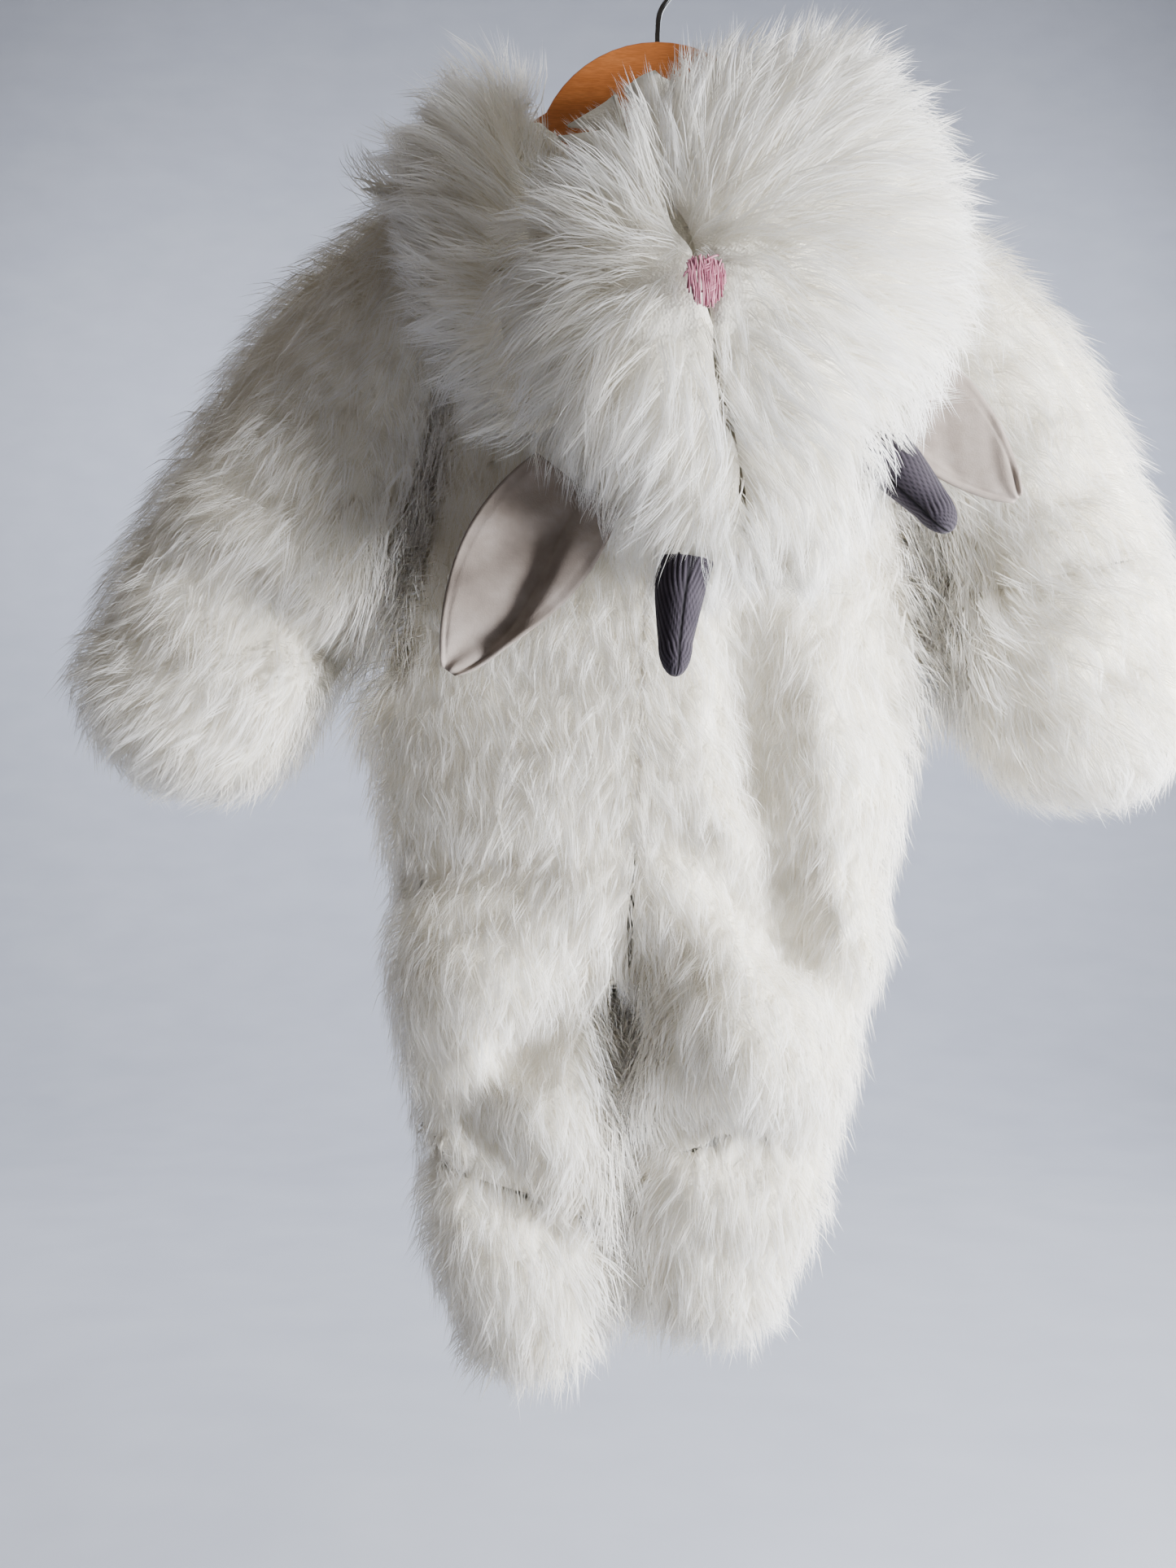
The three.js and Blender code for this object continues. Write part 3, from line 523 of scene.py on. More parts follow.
def skin_of(node, limbs, wall, drawn_in=False):
    """The outer faces of a node, rounded and moved in from the pile's tips to its roots."""
    bm = merged_copy(node)
    inner = []
    for face in bm.faces:
        centre = face.calc_center_median()
        away = (centre - nearest_on_lines(centre, limbs)).normalized()
        if face.normal.dot(away) < FACES_OUT or on_cut(face, centre):
            inner.append(face)
    bmesh.ops.delete(bm, geom=inner, context="FACES")
    for _ in range(4):
        long_edges = [e for e in bm.edges if e.calc_length() > LONGEST_EDGE]
        if not long_edges:
            break
        bmesh.ops.subdivide_edges(bm, edges=long_edges, cuts=1)
        bmesh.ops.triangulate(bm, faces=bm.faces)
    inside = [v for v in bm.verts if not v.is_boundary]
    for _ in range(3):
        bmesh.ops.smooth_vert(bm, verts=inside, factor=0.5, use_axis_x=True, use_axis_y=True, use_axis_z=True)
    bm.normal_update()
    bm.verts.ensure_lookup_table()
    depth = []
    for vertex in bm.verts:
        start = vertex.co - vertex.normal * RAY_START
        hit = WALLS[node].ray_cast(start, -vertex.normal, wall * 1.6)
        through_the_wall = hit[0] is not None and hit[1].dot(vertex.normal) < -0.5
        thick = hit[3] if through_the_wall else wall
        near_nose = math.exp(-(((vertex.co - NOSE_PLACE).length / NOSE_REACH) ** 2))
        room = max(min(wall, thick) - BACKING_THICK - SPARE, 1.0 * MM)
        fill = 0 if node.startswith("hood") else GAP_FILL * near_gap(vertex.co, vertex.normal)
        depth.append(room * (1 - 0.85 * near_nose) * (1 - fill))
    for _ in range(4):
        eased = list(depth)
        for vertex in bm.verts:
            near = [depth[e.other_vert(vertex).index] for e in vertex.link_edges]
            eased[vertex.index] = (depth[vertex.index] + sum(near)) / (1 + len(near))
        depth = eased
    normals = [v.normal.copy() for v in bm.verts]
    tips = [v.co.copy() for v in bm.verts]
    for vertex in bm.verts:
        vertex.co -= normals[vertex.index] * (depth[vertex.index] + crease_depth(vertex.co))
    if drawn_in:
        draw_in_the_edge(bm)
    bm.normal_update()
    under = [covered(tip, normal, COVER_REACH) for tip, normal in zip(tips, normals)]
    hidden = [
        under[v.index] and all(under[e.other_vert(v).index] for e in v.link_edges) for v in bm.verts
    ]
    return bm, hidden


# %% Close a skin into a shell
def shell_from(bm, name, thick):
    """A closed thin shell: the skin, a second layer under it, and a rim that joins them."""
    outer = [v.co.copy() for v in bm.verts]
    under = [v.co - v.normal * thick for v in bm.verts]
    count = len(outer)
    faces = [[v.index for v in f.verts] for f in bm.faces]
    faces += [[count + i for i in reversed(face)] for face in faces[:]]
    for edge in bm.edges:
        if not edge.is_boundary:
            continue
        loop = edge.link_loops[0]
        a, b = loop.vert.index, loop.link_loop_next.vert.index
        faces.append([b, a, count + a, count + b])
    return mesh_object(name, outer + under, faces, backing)


# %% [markdown]
# ## Which way the pile lies
#
# A cutter lays the pile so that it runs down the body and down each limb. On the hood it is long and
# brushed away from the nose on all sides, so it makes a parting there. Each rule gives a direction
# at a point. It is then laid flat on the skin, and turned a little by a slow wave, because no pile
# lies perfectly straight.

# %% Directions of the pile
PARTING = Vector((5, -150, -240)) * MM


def slow_wave(point, seed):
    """A smooth value from -1 to 1 that changes over about 60 mm."""
    x, y, z = point / MM
    a, b, c = x / 23 + 1.7 * seed, z / 31 - y / 19 + seed, (x - z) / 17 + 2.3 * seed
    return (math.sin(a) + math.sin(b) + math.sin(c)) / 3


def down_the_limb(start, end):
    line = (Vector(end) - Vector(start)).normalized()
    return lambda point: line


def down_the_body(point):
    return Vector((0.0, 0.0, -1.0))


def away_from_nose(point):
    away = point - PARTING
    flat = Vector((away.x, 0.45 * away.y, away.z))
    return flat.normalized() + Vector((0.0, 0.0, -0.12))


def down_the_foot(point):
    return Vector((0.0, 0.35, -0.9))


WANDER = 0.38
STEEPEST = 0.15
FALLS = Vector((0.3, 0.0, -1.0))


def laid_flat(lay, normal):
    return lay - normal * lay.dot(normal)


def pile_direction(rule, point, normal, seed):
    lay = laid_flat(rule(point), normal)
    if lay.length < STEEPEST:
        lay = laid_flat(FALLS, normal)
    lay.normalize()
    side = normal.cross(lay)
    turn = WANDER * slow_wave(point, seed)
    return (lay * math.cos(turn) + side * math.sin(turn)).normalized()


# %% [markdown]
# ## Locks of fur
#
# A lock is a group of fibres that start apart and come closer at the tip, as washed pile does. A few
# different locks are modelled once, at a length of 1, and the fur repeats them thousands of times.
# Each fibre is a strip of three to five triangles, so the whole coat stays light enough to render.
# Real hair curves would be finer, but a mesh can be used in any program.

# %% Model the locks
LOCK_SHAPES = 8
STRIP_WIDTH = 0.017


def lock_mesh(name, seed, fibres, steps, rise, reach, spread, strip, gathers, curl):
    """One lock along x, about 1 long. A few stray fibres stand clear of the others."""
    rng = random.Random(seed)
    vertices, faces, along, shade = [], [], [], []
    bend = rng.uniform(-0.16, 0.16)
    for _ in range(fibres):
        angle = rng.uniform(0, 2 * math.pi)
        radius = spread * math.sqrt(rng.random())
        root = Vector((radius * math.cos(angle), radius * math.sin(angle), 0.0))
        stray = rng.random() < 0.14
        gather = 0.2 if stray else rng.uniform(*gathers)
        length = reach * rng.uniform(0.72, 1.06)
        height = rise * rng.uniform(0.5, 1.2) * (1.25 if stray else 1.0)
        wave = curl * rng.uniform(-1, 1)
        roll = rng.gauss(0.0, 0.4)
        width = strip * rng.uniform(0.75, 1.2)
        line = []
        for t in steps + (1.0,):
            pull = 1 - gather * t ** 1.3
            x = root.x * pull + length * (0.25 * t + 0.75 * t * t if not stray else 0.8 * t)
            y = root.y * pull + bend * t * t + wave * math.sin(3.0 * math.pi * t)
            z = height * (1 - (1 - t) ** 2.0) - 0.03
            line.append(Vector((x, y, z)))
        tilt = Vector((0.0, math.cos(roll), math.sin(roll)))
        first = len(vertices)
        for t, point in zip(steps, line):
            half = tilt * width * (1 - 0.45 * t) / 2
            vertices += [point - half, point + half]
            along += [t, t]
        vertices.append(line[-1])
        along.append(1.0)
        lean = root.y / max(spread, 1e-6)
        shade += [Vector((-0.2, 0.6 * lean, 1.0)).normalized()] * (2 * len(steps) + 1)
        last = first + 2 * len(steps) - 2
        faces += [(a, a + 2, a + 3, a + 1) for a in range(first, last, 2)]
        faces.append((last, last + 2, last + 1))
    mesh = bpy.data.meshes.new(name)
    mesh.from_pydata([tuple(v) for v in vertices], [], faces)
    add_values(mesh, "along", along)
    add_vectors(mesh, "shade", [c for v in shade for c in v])
    return bpy.data.objects.new(name, mesh)


def lock_set(name, seed, **shape):
    kit = bpy.data.collections.new(name)
    for i in range(LOCK_SHAPES):
        kit.objects.link(lock_mesh(f"{name}_{i}", seed + i, **shape))
    return kit


body_locks = lock_set("body_locks", 100, fibres=12, steps=(0.0, 0.46), rise=0.47, reach=0.88,
                      spread=0.2, strip=STRIP_WIDTH, gathers=(0.25, 0.65), curl=0.06)
hood_locks = lock_set("hood_locks", 200, fibres=14, steps=(0.0, 0.36, 0.7), rise=0.4, reach=0.94,
                      spread=0.15, strip=STRIP_WIDTH * 0.75, gathers=(0.4, 0.8), curl=0.07)

# %% [markdown]
# ## Growing the fur
#
# Geometry Nodes scatter points over a skin, no two closer than the spacing, and stand a lock on each
# point. The lock's own x axis follows the pile's direction, and its z axis the skin's normal. Each is
# turned and scaled a little at random, with a fixed seed. At the end the locks become plain mesh.

# %% The node tree that grows fur
def fur_tree():
    tree = bpy.data.node_groups.new("fur", "GeometryNodeTree")
    face = tree.interface
    face.new_socket("Geometry", in_out="INPUT", socket_type="NodeSocketGeometry")
    sockets = {}
    for name, kind in (("Spacing", "NodeSocketFloat"), ("Seed", "NodeSocketInt"),
                       ("Locks", "NodeSocketCollection"), ("Material", "NodeSocketMaterial")):
        sockets[name] = face.new_socket(name, in_out="INPUT", socket_type=kind).identifier
    face.new_socket("Geometry", in_out="OUTPUT", socket_type="NodeSocketGeometry")
    start = tree.nodes.new("NodeGroupInput")
    end = tree.nodes.new("NodeGroupOutput")

    pile = add_node(tree, "GeometryNodeInputNamedAttribute", {"data_type": "FLOAT"}, {"Name": "pile"})
    scatter = add_node(tree, "GeometryNodeDistributePointsOnFaces", {"distribute_method": "POISSON"},
                       {"Density Max": 400000.0},
                       {"Mesh": start.outputs["Geometry"], "Distance Min": start.outputs["Spacing"],
                        "Density Factor": pile.outputs["Attribute"], "Seed": start.outputs["Seed"]})
    comb = add_node(tree, "GeometryNodeInputNamedAttribute", {"data_type": "FLOAT_VECTOR"}, {"Name": "comb"})
    length = add_node(tree, "GeometryNodeInputNamedAttribute", {"data_type": "FLOAT"}, {"Name": "length"})
    skin = add_node(tree, "GeometryNodeInputNamedAttribute", {"data_type": "FLOAT_VECTOR"}, {"Name": "skin"})
    stand = add_node(tree, "FunctionNodeAxesToRotation", {"primary_axis": "Z", "secondary_axis": "X"},
                     links={"Primary Axis": skin.outputs["Attribute"],
                            "Secondary Axis": comb.outputs["Attribute"]})
    sway = add_node(tree, "FunctionNodeRandomValue", {"data_type": "FLOAT_VECTOR"},
                    {"Min": (-0.10, -0.16, -0.42), "Max": (0.10, 0.14, 0.42), "Seed": 11})
    turned = add_node(tree, "FunctionNodeRotateRotation", {"rotation_space": "LOCAL"},
                      links={"Rotation": stand.outputs["Rotation"], "Rotate By": sway.outputs["Value"]})
    grow = add_node(tree, "FunctionNodeRandomValue", {"data_type": "FLOAT"},
                    {"Min": 0.78, "Max": 1.12, "Seed": 12})
    size = add_node(tree, "ShaderNodeMath", {"operation": "MULTIPLY"},
                    links={0: length.outputs["Attribute"], 1: grow.outputs["Value"]})
    kit = add_node(tree, "GeometryNodeCollectionInfo", {"transform_space": "ORIGINAL"},
                   {"Separate Children": True, "Reset Children": True},
                   {"Collection": start.outputs["Locks"]})
    stood = add_node(tree, "GeometryNodeInstanceOnPoints", values={"Pick Instance": True},
                     links={"Points": scatter.outputs["Points"], "Instance": kit.outputs["Instances"],
                            "Rotation": turned.outputs["Rotation"], "Scale": size.outputs["Value"]})
    chance = add_node(tree, "FunctionNodeRandomValue", {"data_type": "FLOAT"}, {"Seed": 13})
    marked = add_node(tree, "GeometryNodeStoreNamedAttribute", {"data_type": "FLOAT", "domain": "INSTANCE"},
                      {"Name": "lock"}, {"Geometry": stood.outputs["Instances"],
                                         "Value": chance.outputs["Value"]})
    real = add_node(tree, "GeometryNodeRealizeInstances", links={"Geometry": marked.outputs["Geometry"]})
    coloured = add_node(tree, "GeometryNodeSetMaterial",
                        links={"Geometry": real.outputs["Geometry"], "Material": start.outputs["Material"]})
    tree.links.new(coloured.outputs["Geometry"], end.inputs["Geometry"])
    return tree, sockets


FUR_TREE, FUR_SOCKETS = fur_tree()

# %% [markdown]
# ## Light on the fur
#
# Thousands of flat strips, each lit by its own face, flicker from light to dark. Real fur scatters
# light and looks like one soft form. So each point's normal is mostly that of the skin under the lock,
# a little rounded across the lock, and only slightly the strip's own.

# %% Soft normals
SKIN_SHARE = 0.85


def vectors_of(mesh, name):
    data = np.empty(len(mesh.vertices) * 3, dtype=np.float32)
    mesh.attributes[name].data.foreach_get("vector", data)
    return data.reshape(-1, 3)


def soft_normals(mesh):
    """Light falls on a lock as on one soft rounded form, not on each flat strip."""
    skin, comb, shade = (vectors_of(mesh, name) for name in ("skin", "comb", "shade"))
    skin /= np.linalg.norm(skin, axis=1, keepdims=True) + 1e-9
    comb -= skin * np.sum(comb * skin, axis=1, keepdims=True)
    comb /= np.linalg.norm(comb, axis=1, keepdims=True) + 1e-9
    side = np.cross(skin, comb)
    rounded = comb * shade[:, :1] + side * shade[:, 1:2] + skin * shade[:, 2:]
    own = np.empty(len(mesh.vertices) * 3, dtype=np.float32)
    mesh.vertex_normals.foreach_get("vector", own)
    own = own.reshape(-1, 3)
    own *= np.sign(np.sum(own * skin, axis=1, keepdims=True) + 1e-6)
    mixed = rounded * SKIN_SHARE + own * (1 - SKIN_SHARE)
    mixed /= np.linalg.norm(mixed, axis=1, keepdims=True) + 1e-9
    mesh.shade_smooth()
    mesh.normals_split_custom_set_from_vertices(mixed.tolist())


# %% Grow one coat
def grow_fur(bm, hidden, name, rule, length_of, locks, material, spacing, seed):
    """A fur mesh on one skin. length_of gives the pile's length at a point for the way it lies there."""
    mesh = bpy.data.meshes.new(name)
    bm.to_mesh(mesh)
    comb, skin, lengths, pile = [], [], [], []
    for vertex in bm.verts:
        lay = pile_direction(rule, vertex.co, vertex.normal, seed)
        comb.extend(lay)
        skin.extend(vertex.normal)
        length = length_of(vertex.co, lay, vertex.normal)
        lengths.append(length)
        pile.append(0.0 if length <= 0 or hidden[vertex.index] else 1.0)
    add_vectors(mesh, "comb", comb)
    add_vectors(mesh, "skin", skin)
    add_values(mesh, "length", lengths)
    add_values(mesh, "pile", pile)
    host = in_scene(name + "_host", mesh)
    modifier = host.modifiers.new("fur", "NODES")
    modifier.node_group = FUR_TREE
    modifier[FUR_SOCKETS["Spacing"]] = spacing
    modifier[FUR_SOCKETS["Seed"]] = seed
    modifier[FUR_SOCKETS["Locks"]] = locks
    modifier[FUR_SOCKETS["Material"]] = material
    evaluated = host.evaluated_get(bpy.context.evaluated_depsgraph_get())
    grown = bpy.data.meshes.new_from_object(evaluated)
    bpy.data.objects.remove(host)
    soft_normals(grown)
    for extra in ("comb", "skin", "length", "pile", "shade"):
        if extra in grown.attributes:
            grown.attributes.remove(grown.attributes[extra])
    grown.name = name
    return in_scene(name, grown)


# %% [markdown]
# ## The body's panels
#
# Each row of the table is one cut of cloth: which middle lines it wraps, which way its pile lies, and
# the size it was cut to. A panel that goes round a tube, such as a sleeve, is cut as wide as the way
# round. The sizes are those of the cloth that shows, without seam allowance. A cut isn't a full oblong,
# because its armhole and its crotch curve in, so each row also says what share of the oblong it fills.

# %% Table of the body's panels
SLEEVE_LEFT_RUN = ((-88, -2, -174), (-242, -7, -412))
SLEEVE_RIGHT_RUN = ((98, -2, -182), (220, -9, -417))
BODY_WALL = 14 * MM
PILE = 26 * MM
GAP_PILE = 44 * MM
CREASE_PRESS = 0.8

body_left = ["trunk", "leg_left", "arm_left"]
body_right = ["trunk", "leg_right", "arm_right"]
PANELS = [
    # node, middle lines, lay of the pile, spacing of the locks, cut width and length, all in mm, and
    # the share of that oblong that the cut fills
    ("back_left", body_left, down_the_body, 4.5, 230, 590, 0.57),
    ("back_right", body_right, down_the_body, 4.5, 230, 550, 0.65),
    ("front_left", body_left, down_the_body, 6.3, 220, 590, 0.59),
    ("front_right", body_right, down_the_body, 6.3, 220, 550, 0.65),
    ("foot_left", ["leg_left"], down_the_foot, 4.8, 330, 110, 0.63),
    ("foot_right", ["leg_right"], down_the_foot, 4.8, 330, 110, 0.65),
    ("sole_left", ["leg_left"], down_the_foot, 4.6, 110, 120, 0.47),
    ("sole_right", ["leg_right"], down_the_foot, 4.6, 110, 120, 0.46),
    ("sleeve_left", ["arm_left"], down_the_limb(*SLEEVE_LEFT_RUN), 4.7, 400, 240, 0.64),
    ("sleeve_right", ["arm_right"], down_the_limb(*SLEEVE_RIGHT_RUN), 4.7, 380, 230, 0.62),
    ("mitt_left", ["arm_left"], down_the_limb(*SLEEVE_LEFT_RUN), 4.7, 380, 150, 0.66),
    ("mitt_right", ["arm_right"], down_the_limb(*SLEEVE_RIGHT_RUN), 4.7, 370, 150, 0.63),
]


# %% Build the panels of the body
def body_pile(point, lay, normal):
    """The pile lies flatter in a crease. Under the arms and between the legs it closes the gap."""
    longest = PILE + (GAP_PILE - PILE) * near_gap(point, normal)
    return longest - CREASE_PRESS * max(crease_depth(point), 0)


def dress(node, limbs, wall, rule, length_of, locks, material, spacing, seed):
    """One panel: its backing and its pile."""
    bm, hidden = skin_of(node, limbs, wall, drawn_in=node.startswith("sole"))
    cloth = shell_from(bm, node + "_cloth", BACKING_THICK)
    fur = grow_fur(bm, hidden, node + "_fur", rule, length_of, locks, material, spacing, seed)
    bm.free()
    for piece in (cloth, fur):
        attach(piece, "root")
    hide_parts(node)
    return cloth, fur


for seed, (node, limbs, rule, spacing, width, length, share) in enumerate(PANELS):
    dress(node, limbs, BODY_WALL, rule, body_pile, body_locks, body_fur,
          spacing * MM, seed)

# %% [markdown]
# ## The hood
#
# The hood's pile is longer, about 38 mm, and it stands out from the nose like rays. Close to the nose
# it is shorter, and the nose itself is bare of fur. It is trimmed at the edge of the face opening and
# of the neckline, so it reaches only a little past them. Two panels meet in the seam through the nose.

# %% Build the hood
HOOD_WALL = 21 * MM
HOOD_SPACING = 5.0 * MM
NOSE_X, NOSE_Z = 9, -262
NOSE_HALF_WIDTH, NOSE_HALF_HEIGHT = 8.5, 11
LONG_PILE, CROWN_PILE, SHORT_PILE = 38 * MM, 31 * MM, 17 * MM
PAST_EDGE = 9 * MM
SHORTEST_PILE = 13 * MM
FRONT_OF_HEAD = -105 * MM


def way_to_edge(point, lay, edge):
    place, inward = edge
    toward_edge = -lay.dot(inward)
    if toward_edge < 0.1:
        return 1.0
    return (point - place * MM).dot(inward) / toward_edge


def hood_pile(point, lay, normal):
    across = (point.x / MM - NOSE_X) / (NOSE_HALF_WIDTH + 0.4)
    up = (point.z / MM - NOSE_Z) / (NOSE_HALF_HEIGHT + 0.4)
    out = math.hypot(across, up)
    crown = min(max((-270 - point.z / MM) / 50, 0), 1)
    longest = LONG_PILE + (CROWN_PILE - LONG_PILE) * crown
    if point.y > FRONT_OF_HEAD:
        on_nape = abs(point.x) < 0.062 and point.z > -0.19
        room = way_to_edge(point, lay, NECKLINE) if on_nape else 1.0
    else:
        if out < 0.75:
            return 0.0
        longest = SHORT_PILE + (longest - SHORT_PILE) * min((out - 1) / 2.2, 1)
        room = min(way_to_edge(point, lay, MOUTH_EDGE), way_to_edge(point, lay, MOUTH_TOP))
    return max(min(longest, room + PAST_EDGE), SHORTEST_PILE)


HOOD_LINES = ["head", "cheek_left", "cheek_right"]
HOOD_PANELS = [
    # node, cut width and length in mm, share of that oblong, seed
    ("hood_left", (300, 330), 0.52, 40),
    ("hood_right", (310, 330), 0.71, 41),
]
for node, cut, share, seed in HOOD_PANELS:
    dress(node, HOOD_LINES, HOOD_WALL, away_from_nose, hood_pile, hood_locks, hood_fur,
          HOOD_SPACING, seed)

# %% [markdown]
# ## Materials: corduroy, suede and thread
#
# Corduroy's ribs are modelled, so its material only adds the short nap on each rib and painted shade:
# darker between the ribs and lighter on their tops. The attribute `rib` is 1 on top of a rib and 0 between
# two. Suede cloth has a nap that lies one way or the other in patches, and looks lighter or darker with it.
# The nose's thread is spun rayon, smooth and a little glossy, and each stitch has its own pink.

# %% Trim materials
corduroy, tree, shader = new_material("cotton_corduroy", 0.85, {
    "Sheen Weight": 0.15, "Sheen Roughness": 0.45, "Specular IOR Level": 0.2,
})
rib = add_node(tree, "ShaderNodeAttribute", {"attribute_name": "rib"})
nap = on_the_piece(tree, "ShaderNodeTexNoise", {"Scale": 900.0, "Detail": 4.0})
worn = on_the_piece(tree, "ShaderNodeTexNoise", {"Scale": 70.0, "Detail": 2.0})
# Painted shade: the colour is darker between the ribs and lighter on their tops.
painted_rib_shade = colour_ramp(tree, rib.outputs["Fac"], [(0.05, "#181519"), (0.5, "#2F2A30"), (1.0, "#474149")])
patchy = colour_ramp(tree, worn.outputs["Fac"], [(0.3, "#C8C4CC"), (0.7, "#FFFFFF")])
tree.links.new(multiply(tree, painted_rib_shade, patchy, 0.8), shader.inputs["Base Color"])
add_bump(tree, shader, nap.outputs["Fac"], 0.6, 0.3 * MM)

suede, tree, shader = new_material("suede_cloth", 0.82, {
    "Sheen Weight": 0.15, "Sheen Roughness": 0.5, "Specular IOR Level": 0.25,
})
lie = on_the_piece(tree, "ShaderNodeTexNoise", {"Scale": 45.0, "Detail": 4.0, "Roughness": 0.6})
grain = on_the_piece(tree, "ShaderNodeTexNoise", {"Scale": 1400.0, "Detail": 3.0})
tree.links.new(
    colour_ramp(tree, lie.outputs["Fac"], [(0.25, "#7D7168"), (0.5, "#93877D"), (0.75, "#AA9E95")]),
    shader.inputs["Base Color"],
)
add_bump(tree, shader, grain.outputs["Fac"], 0.45, 0.3 * MM)

thread, tree, shader = new_material("rayon_thread", 0.42, {"Sheen Weight": 0.3})
lock = add_node(tree, "ShaderNodeAttribute", {"attribute_name": "lock"})
tree.links.new(
    colour_ramp(tree, lock.outputs["Fac"], [(0.0, "#8A4458"), (0.5, "#AB6679"), (1.0, "#C88796")]),
    shader.inputs["Base Color"],
)

# %% [markdown]
# ## The horns
#
# Each horn is a cone sewn from one flat piece. In the flat piece the ribs run straight and level with
# the middle of the cone, so on the sewn cone they come together at the seam in a V. That place is
# found by unrolling the cone in numbers: how far round it a point lies, times how far it is from the
# cone's point. The ribs are real ridges of half a millimetre, since they show from close by.

# %% Build the horns
RIB_PITCH = 2.3
RIB_HEIGHT = 0.55
SEAM_WIDTH = 0.8
AROUND, ALONG = 200, 34
# Each horn: rows of x, y, z, tilt and two half widths, the round end, and the seam's angle.
HORNS = {
    "horn_left": ([(6, -119, -362, -7, 12.0, 11.4), (3, -120, -376, -6, 11, 10.5),
                   (1, -121, -399, 0, 7.5, 7.5)], 14, -80),
    "horn_right": ([(86, -119, -310, 42, 12.4, 11.6), (97, -120, -322, 42, 11.5, 11),
                    (112, -121, -339, 38, 8, 8)], 14, -140),
}


def between(rows, share):
    """A smooth value between the rows of a table, each row a tuple."""
    place = share * (len(rows) - 1)
    low = min(int(place), len(rows) - 2)
    t = place - low
    four = rows[max(low - 1, 0)], rows[low], rows[low + 1], rows[min(low + 2, len(rows) - 1)]
    return [
        b + (c - a) / 2 * t + (a - 2.5 * b + 2 * c - d / 2) * t ** 2 + (1.5 * (b - c) + (d - a) / 2) * t ** 3
        for a, b, c, d in zip(*four)
    ]


def horn(name, rows, round_end, seam_degrees):
    seam_angle = math.radians(seam_degrees)
    body = Vector(rows[-1][:3]) - Vector(rows[0][:3])
    straight = body.length
    whole = straight + round_end
    vertices, ribs = [], []
    for row in range(ALONG + 1):
        reach = whole * (1 - (1 - row / ALONG) ** 1.35)
        share = min(reach / straight, 1)
        x, y, z, tilt, half, deep = between(rows, share)
        over = max(reach - straight, 0) / round_end
        shrink = math.sqrt(max(1 - over * over, 0))
        lean = math.radians(tilt)
        middle = Vector((x, y, z)) + Vector((math.sin(lean), 0, -math.cos(lean))) * over * round_end
        across = Vector((math.cos(lean), 0, math.sin(lean)))
        for i in range(AROUND):
            angle = 2 * math.pi * i / AROUND
            from_seam = abs((angle - seam_angle + math.pi) % (2 * math.pi) - math.pi)
            across_flat = (math.pi - from_seam) * half * shrink
            ridge = abs(math.cos(math.pi * across_flat / RIB_PITCH)) ** 0.7
            seam = math.exp(-((from_seam * half / SEAM_WIDTH) ** 2)) if from_seam < 1 else 0.0
            out = RIB_HEIGHT * (ridge - 1) * min(1, shrink * 1.6) - 0.5 * seam
            u = (half * shrink + out) * math.cos(angle)
            v = (deep * shrink + out) * math.sin(angle)
            vertices.append((middle + across * u + Vector((0, v, 0))) * MM)
            ribs.append(ridge * (1 - seam))
    faces = []
    for row in range(ALONG):
        for i in range(AROUND):
            a, b = row * AROUND + i, row * AROUND + (i + 1) % AROUND
            faces.append((a, b, b + AROUND, a + AROUND))
    faces.append(tuple(reversed(range(AROUND))))
    faces.append(tuple(range(ALONG * AROUND, (ALONG + 1) * AROUND)))
    piece = mesh_object(name + "_cloth", vertices, faces, corduroy)
    add_values(piece.data, "rib", ribs)
    turn_faces_outward(piece.data)
    take_the_place_of(name, piece)
    print(name, len(piece.data.polygons), "faces")


for name, (rows, round_end, seam_degrees) in HORNS.items():
    horn(name, rows, round_end, seam_degrees)

# %% [markdown]
# ## The ears
#
# Each ear is two leaves of suede cloth sewn together and turned out. It is creased from its root to
# its tip, and the part beyond the crease steps up toward the viewer and lies back again. The leaf is
# built flat and then bent round a small radius at the crease, as doubled cloth does.

# %% Build the ears
EAR_THICK = 3.0
EARS = {
    "ear_left": dict(holder="hood_left", x=-33, y=-98, z=-316, tilt=-36, turn=-8, length=114, width=62,
                     crease1=-0.1, crease2=0.62, fold=70, settle=12, start=0.1),
    "ear_right": dict(holder="hood_right", x=88, y=-92, z=-262, tilt=47, turn=12, length=98, width=46,
                      crease1=-0.3, crease2=-0.6, fold=-38, settle=38, start=0.28),
}
LEAF_START, LEAF_SPAN, LEAF_FULLNESS = 0.2, 0.78, 0.75
LEAF_ROWS, LEAF_COLUMNS = 44, 36
ROLL, STEEP = 4.0, 4.0
FOLD_STEP = 0.5


def fold_angle(beyond, bend, settle):
    """The slope beyond the crease: it rises to the bend, stays a little, and settles again."""
    if beyond < ROLL:
        return bend * beyond / ROLL
    back = min(max((beyond - ROLL - STEEP) / (2 * ROLL), 0), 1)
    return bend + (settle - bend) * back


def rolled(beyond, bend, settle):
    """A strip that runs on for a length beyond the crease: how far across, how far up, and its angle."""
    right, up, gone = 0.0, 0.0, 0.0
    while gone < beyond:
        step = min(FOLD_STEP, beyond - gone)
        angle = fold_angle(gone + step / 2, bend, settle)
        right += step * math.cos(angle)
        up += step * math.sin(angle)
        gone += step
    return right, up, fold_angle(beyond, bend, settle)


